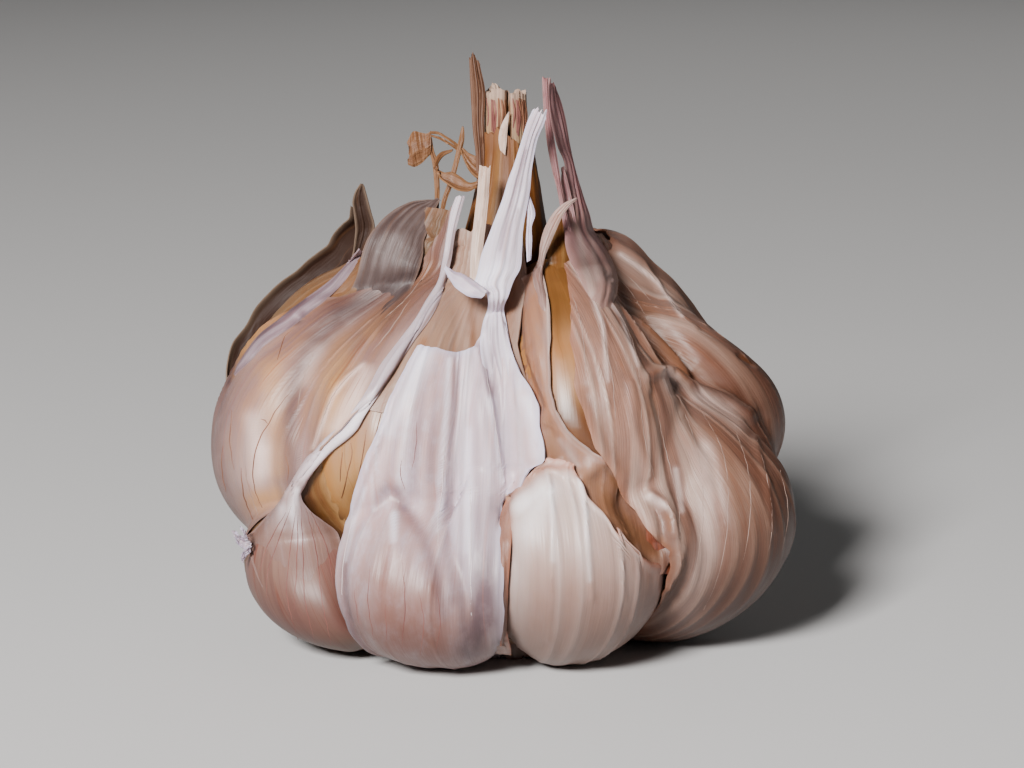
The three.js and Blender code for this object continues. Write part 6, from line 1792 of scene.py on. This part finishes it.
brownLine = lineMaterial("brown vein", (0.13, 0.05, 0.025), (0.2, 0.08, 0.04), 0.5)
redLine = lineMaterial("red vein", (0.13, 0.035, 0.03), (0.2, 0.07, 0.055), 0.5)
paleLine = lineMaterial("pale vein", (0.24, 0.155, 0.125), (0.3, 0.21, 0.175), 0.5)
creamLine = lineMaterial("cream vein", (0.52, 0.44, 0.44), (0.6, 0.52, 0.54), 0.45)
veinSpecs = {
    "left_brown_veins": dict(
        on=["left_skin"], material=brownLine, radius=0.07, lift=-0.02, slot="skin",
        paths=[[(292, 390), (275, 412), (269, 423), (261, 436), (255, 452), (253, 470), (255, 490), (262, 508)],
               [(268, 424), (265, 420), (261, 419)], [(294, 329), (287, 334), (281, 348), (277, 360)],
               [(286, 456), (288, 466), (288, 480)], [(223, 446), (222, 470), (226, 492)],
               [(241, 468), (244, 496), (253, 520)], [(232, 410), (230, 440), (234, 470)]]),
    "clove_gold_veins": dict(
        on=["clove_inner_left"], material=brownLine, radius=0.07, lift=-0.02, slot="clove",
        paths=[[(351, 443), (352, 454), (348, 470), (344, 488), (341, 498)], [(343, 452), (341, 470), (340, 484)],
               [(366, 430), (363, 455), (358, 480)], [(385, 398), (378, 425), (371, 452)]]),
    "clove_red_veins": dict(
        on=["clove_low_left", "rolled_strip"], material=redLine, radius=0.05, lift=-0.02, slot="clove",
        paths=[[(291, 506), (279, 540), (267, 575), (267, 598)], [(296, 506), (291, 545), (287, 595), (298, 640)],
               [(301, 506), (303, 550), (305, 600), (316, 646)], [(306, 508), (316, 550), (322, 600), (332, 648)],
               [(311, 512), (328, 552), (333, 590)], [(286, 512), (268, 545), (258, 580)],
               [(298, 515), (297, 560), (294, 610)]]),
    "front_red_veins": dict(
        on=["front_skin"], material=redLine, radius=0.045, lift=-0.02, slot="skin",
        paths=[[(370, 566), (368, 600), (374, 640)], [(402, 560), (405, 600), (402, 648)],
               [(419, 592), (424, 625), (420, 655)], [(385, 604), (387, 640)], [(354, 590), (359, 625)],
               [(437, 590), (440, 622), (436, 650)], [(412, 470), (416, 445), (417, 420)],
               [(405, 490), (400, 474), (402, 460)]]),
    "right_pale_veins": dict(
        on=["right_skin"], material=paleLine, radius=0.06, lift=-0.042, slot="skin",
        paths=[[(566, 255), (577, 272), (592, 295), (602, 320), (606, 355), (607, 380), (611, 410)],
               [(572, 258), (597, 285), (620, 315), (632, 340), (639, 372), (642, 400)],
               [(580, 245), (600, 267), (625, 285), (641, 308), (652, 328)],
               [(600, 240), (620, 254), (642, 266), (657, 281), (670, 300), (682, 316), (694, 327), (712, 338)],
               [(610, 262), (632, 280), (650, 300)], [(569, 285), (580, 320), (585, 360), (586, 395)],
               [(586, 290), (600, 330), (612, 375), (616, 420), (622, 450)],
               [(655, 392), (661, 430), (670, 467), (679, 505), (680, 538)],
               [(757, 440), (767, 478), (772, 525), (766, 562)], [(735, 428), (748, 470), (750, 520), (740, 575)],
               [(700, 408), (722, 450), (728, 510), (720, 570), (704, 610)],
               [(680, 400), (697, 450), (703, 510), (694, 575), (680, 615)], [(640, 400), (645, 440), (655, 480)],
               [(780, 470), (788, 510), (782, 550)]]),
    "panel_pale_ribs": dict(
        on=["front_skin"], material=creamLine, radius=0.06, lift=-0.045, slot="skin",
        paths=[[(450, 352), (447, 400), (444, 450), (442, 490), (438, 525), (440, 570)],
               [(470, 475), (471, 530), (471, 610), (472, 640)], [(482, 352), (491, 400), (499, 450), (503, 482)],
               [(368, 478), (356, 510), (347, 545), (342, 580), (344, 615)]]),
    "left_pale_veins": dict(
        on=["left_skin"], material=paleLine, radius=0.07, lift=-0.045, slot="skin",
        paths=[[(313, 448), (322, 422), (333, 396), (349, 376), (363, 364)], [(375, 366), (376, 380), (366, 400)],
               [(322, 336), (311, 358), (305, 374), (299, 400), (296, 426)], [(410, 300), (390, 330), (372, 352)],
               [(425, 275), (405, 300), (385, 318)], [(245, 440), (247, 480), (258, 515)]]),
}
# fibres on the cut stalk, between two x each: rows of how far aside, the y and how much further down each one starts
fibreSpans = ((487, 497), (497, 506), (512, 519), (519, 526))
fibreRows = ((0, 98, 3), (1.2, 110, 0), (0.4, 126, 12))
for number, (left, right) in enumerate(fibreSpans):
    spread = 0.5 + 0.5 * noiseAt(np.arange(5) * 1.7, 0 * np.arange(5), number)
    paths = [[(mix(left, right, k) + aside, py + further * k) for aside, py, further in fibreRows] for k in spread]
    line = brownLine if number % 2 else redLine
    veinSpecs["stem_fibres_%d" % number] = dict(
        on=["stem_stalk"], material=line, radius=0.1, lift=0.02, slot="stem", paths=paths)
for name, spec in veinSpecs.items():
    settle(makeVeins(name, spec), spec["material"], spec["slot"])
print("veins done")


# ---- root plate: a low dome with trimmed root stubs, made by a node tree
rootSpec = {
    "radius": 9.4, "height": 4.8, "flatRadius": 4.2, "rootMargin": 0.7, "rootReach": 7.9, "count": 170,
    "stubRadius": 0.32, "stubLength": 1.5, "seed": 5,
}


def rootTree(material):
    tree = bpy.data.node_groups.new("trimmed roots", "GeometryNodeTree")
    tree.interface.new_socket(name="Geometry", in_out="INPUT", socket_type="NodeSocketGeometry")
    addInput(tree, "Count", "NodeSocketInt", 10)
    addInput(tree, "Inner Radius", "NodeSocketFloat", 0.004)
    addInput(tree, "Outer Radius", "NodeSocketFloat", 0.008)
    addInput(tree, "Stub Radius", "NodeSocketFloat", 0.0003)
    addInput(tree, "Stub Length", "NodeSocketFloat", 0.0015)
    addInput(tree, "Seed", "NodeSocketInt", 1)
    tree.interface.new_socket(name="Geometry", in_out="OUTPUT", socket_type="NodeSocketGeometry")
    nodes = Nodes(tree)
    inputs = tree.nodes.new("NodeGroupInput")
    given = {socket.name: Out(nodes, socket) for socket in inputs.outputs if socket.name}
    points = nodes.add("GeometryNodePoints", {}, {"Count": given["Count"]})
    index = nodes.add("GeometryNodeInputIndex")
    share = ((index + 0.5) / given["Count"]) ** 0.5
    radius = given["Inner Radius"] + (given["Outer Radius"] - given["Inner Radius"]) * share
    turn = index * (math.pi * (3 - math.sqrt(5)))
    height = given["Stub Length"] * 0.5 + share * 0.0004
    place = nodes.add("ShaderNodeCombineXYZ", {}, {
        "X": radius * turn.calc("COSINE", turn), "Y": radius * turn.calc("SINE", turn), "Z": height})
    placed = nodes.add("GeometryNodeSetPosition", {}, {"Geometry": points, "Position": place})
    stub = nodes.add("GeometryNodeMeshCone", {}, {
        "Vertices": 9, "Side Segments": 2, "Fill Segments": 1, "Radius Top": given["Stub Radius"] * 0.75,
        "Radius Bottom": given["Stub Radius"], "Depth": given["Stub Length"]})
    stub = nodes.add("GeometryNodeTransform", {}, {
        "Geometry": stub, "Translation": nodes.add("ShaderNodeCombineXYZ", {}, {"Z": given["Stub Length"] * -0.5})})
    tilt = nodes.add("FunctionNodeRandomValue", {"data_type": "FLOAT_VECTOR"}, {
        "Min": (-0.35, -0.35, 0.0), "Max": (0.35, 0.35, 6.28), "Seed": given["Seed"]})
    size = nodes.add("FunctionNodeRandomValue", {"data_type": "FLOAT"}, {
        2: 0.65, 3: 1.15, "Seed": given["Seed"]}, out=1)
    spread = nodes.add("GeometryNodeInstanceOnPoints", {}, {
        "Points": placed, "Instance": stub, "Rotation": tilt, "Scale": size})
    real = nodes.add("GeometryNodeRealizeInstances", {}, {"Geometry": spread})
    joined = tree.nodes.new("GeometryNodeJoinGeometry")
    tree.links.new(given["Geometry"].socket, joined.inputs[0])
    tree.links.new(real.socket, joined.inputs[0])
    final = nodes.add("GeometryNodeSetMaterial", {}, {"Geometry": Out(nodes, joined.outputs[0]), "Material": material})
    out = tree.nodes.new("NodeGroupOutput")
    tree.links.new(final.socket, out.inputs[0])
    return tree


def rootMaterial():
    material, nodes = newMaterial("root plate")
    place = nodes.add("ShaderNodeTexCoord", {}, out=3)
    grain = nodes.noise(place, (900, 900, 500), detail=5.0)
    patches = nodes.noise(place, (180, 180, 180), detail=3.0)
    colour = nodes.mixed(patches.ramped(0.35, 0.7), (0.36, 0.26, 0.16), (0.20, 0.13, 0.08))
    colour = nodes.mixed(grain.ramped(0.5, 0.7) * 0.6, colour, (0.48, 0.38, 0.26))
    finishMaterial(nodes, colour, grain * 0.2 + 0.65, grain, {"bump": 0.6})
    return material


def makeRootPlate(spec):
    profile = [(0, 0), (spec["flatRadius"], 0), (spec["flatRadius"] + 0.5, 0.7), (spec["radius"] * 0.9, 1.0),
               (spec["radius"] * 0.95, 1.5), (spec["radius"] * 0.84, 2.6), (spec["radius"] * 0.62, 3.8),
               (spec["radius"] * 0.34, 4.5), (0, spec["height"])]
    turn = np.linspace(0, 2 * math.pi, 72, endpoint=False)
    rows = np.array(profile[1:-1], float)
    ring = np.stack([rows[:, :1] * np.cos(turn), rows[:, :1] * np.sin(turn), rows[:, 1:] + 0 * turn], -1)
    lumps = 0.12 * roughNoise(ring[..., 0] * 0.9, ring[..., 1] * 0.9, 13, 3)
    ring = ring + (lumps * (rows[:, 1] > 0)[:, None])[..., None]
    plate = makeTube("root_dome", ring, None, None)
    made = applied(plate, rootTree(rootMaterial()), {
        "Count": spec["count"], "Inner Radius": (spec["flatRadius"] + spec["rootMargin"]) * metres,
        "Outer Radius": spec["rootReach"] * metres,
        "Stub Radius": spec["stubRadius"] * metres, "Stub Length": spec["stubLength"] * metres, "Seed": spec["seed"]})
    made.name = "root_disc"
    return made


rootDisc = makeRootPlate(rootSpec)
settle(rootDisc, rootDisc.data.materials[0] or rootMaterial(), "root", "root_plate")
print("root plate done")


# ---- floor, light and camera
floorSpec = {"half": 3, "colour": (0.56, 0.56, 0.56), "roughness": 0.85}
half = floorSpec["half"]
floorMesh = bpy.data.meshes.new("floor")
floorMesh.from_pydata([(-half, -half, 0), (half, -half, 0), (half, half, 0), (-half, half, 0)], [], [(0, 1, 2, 3)])
floorThing = bpy.data.objects.new("floor", floorMesh)
bpy.context.scene.collection.objects.link(floorThing)
floorMaterial, floorNodes = newMaterial("pale floor")
floorShader = floorNodes.add("ShaderNodeBsdfPrincipled", {}, {
    "Base Color": (*floorSpec["colour"], 1.0), "Roughness": floorSpec["roughness"]})
floorOutput = floorNodes.tree.nodes.new("ShaderNodeOutputMaterial")
floorNodes.tree.links.new(floorShader.socket, floorOutput.inputs["Surface"])
floorMesh.materials.append(floorMaterial)

lightSpecs = {
    "key": dict(place=(-0.26, -0.60, 0.40), aim=(0, 0, 0.028), size=0.18, power=15.4, colour=(1.0, 0.97, 0.95)),
    "fill": dict(place=(0.60, -0.50, 0.30), aim=(0, 0, 0.025), size=0.6, power=0.2, colour=(0.95, 0.96, 1.0)),
    "rear": dict(place=(0.15, 0.60, 0.45), aim=(0, 0, 0.03), size=0.5, power=0.5, colour=(1.0, 0.98, 0.95)),
}
for name, spec in lightSpecs.items():
    data = bpy.data.lights.new(name, "AREA")
    data.energy, data.size, data.color = spec["power"], spec["size"], spec["colour"]
    lamp = bpy.data.objects.new(name, data)
    bpy.context.scene.collection.objects.link(lamp)
    lamp.location = spec["place"]
    lamp.rotation_euler = (Vector(spec["aim"]) - Vector(spec["place"])).to_track_quat("-Z", "Y").to_euler()

worldSpec = {"colour": (0.9, 0.92, 0.95, 1), "strength": 0.025}
world = bpy.data.worlds.new("studio")
world.use_nodes = True
background = world.node_tree.nodes["Background"]
background.inputs["Color"].default_value = worldSpec["colour"]
background.inputs["Strength"].default_value = worldSpec["strength"]
bpy.context.scene.world = world

cameraData = bpy.data.cameras.new("camera")
cameraData.sensor_width = view["sensor"]
cameraData.lens = focalPixels * view["sensor"] / view["width"]
cameraData.clip_start, cameraData.clip_end = 0.01, 20
camera = bpy.data.objects.new("camera", cameraData)
bpy.context.scene.collection.objects.link(camera)
camera.location = Vector(viewPlace * metres)
camera.rotation_euler = (math.radians(90 - view["elevation"]), 0, 0)
bpy.context.scene.camera = camera
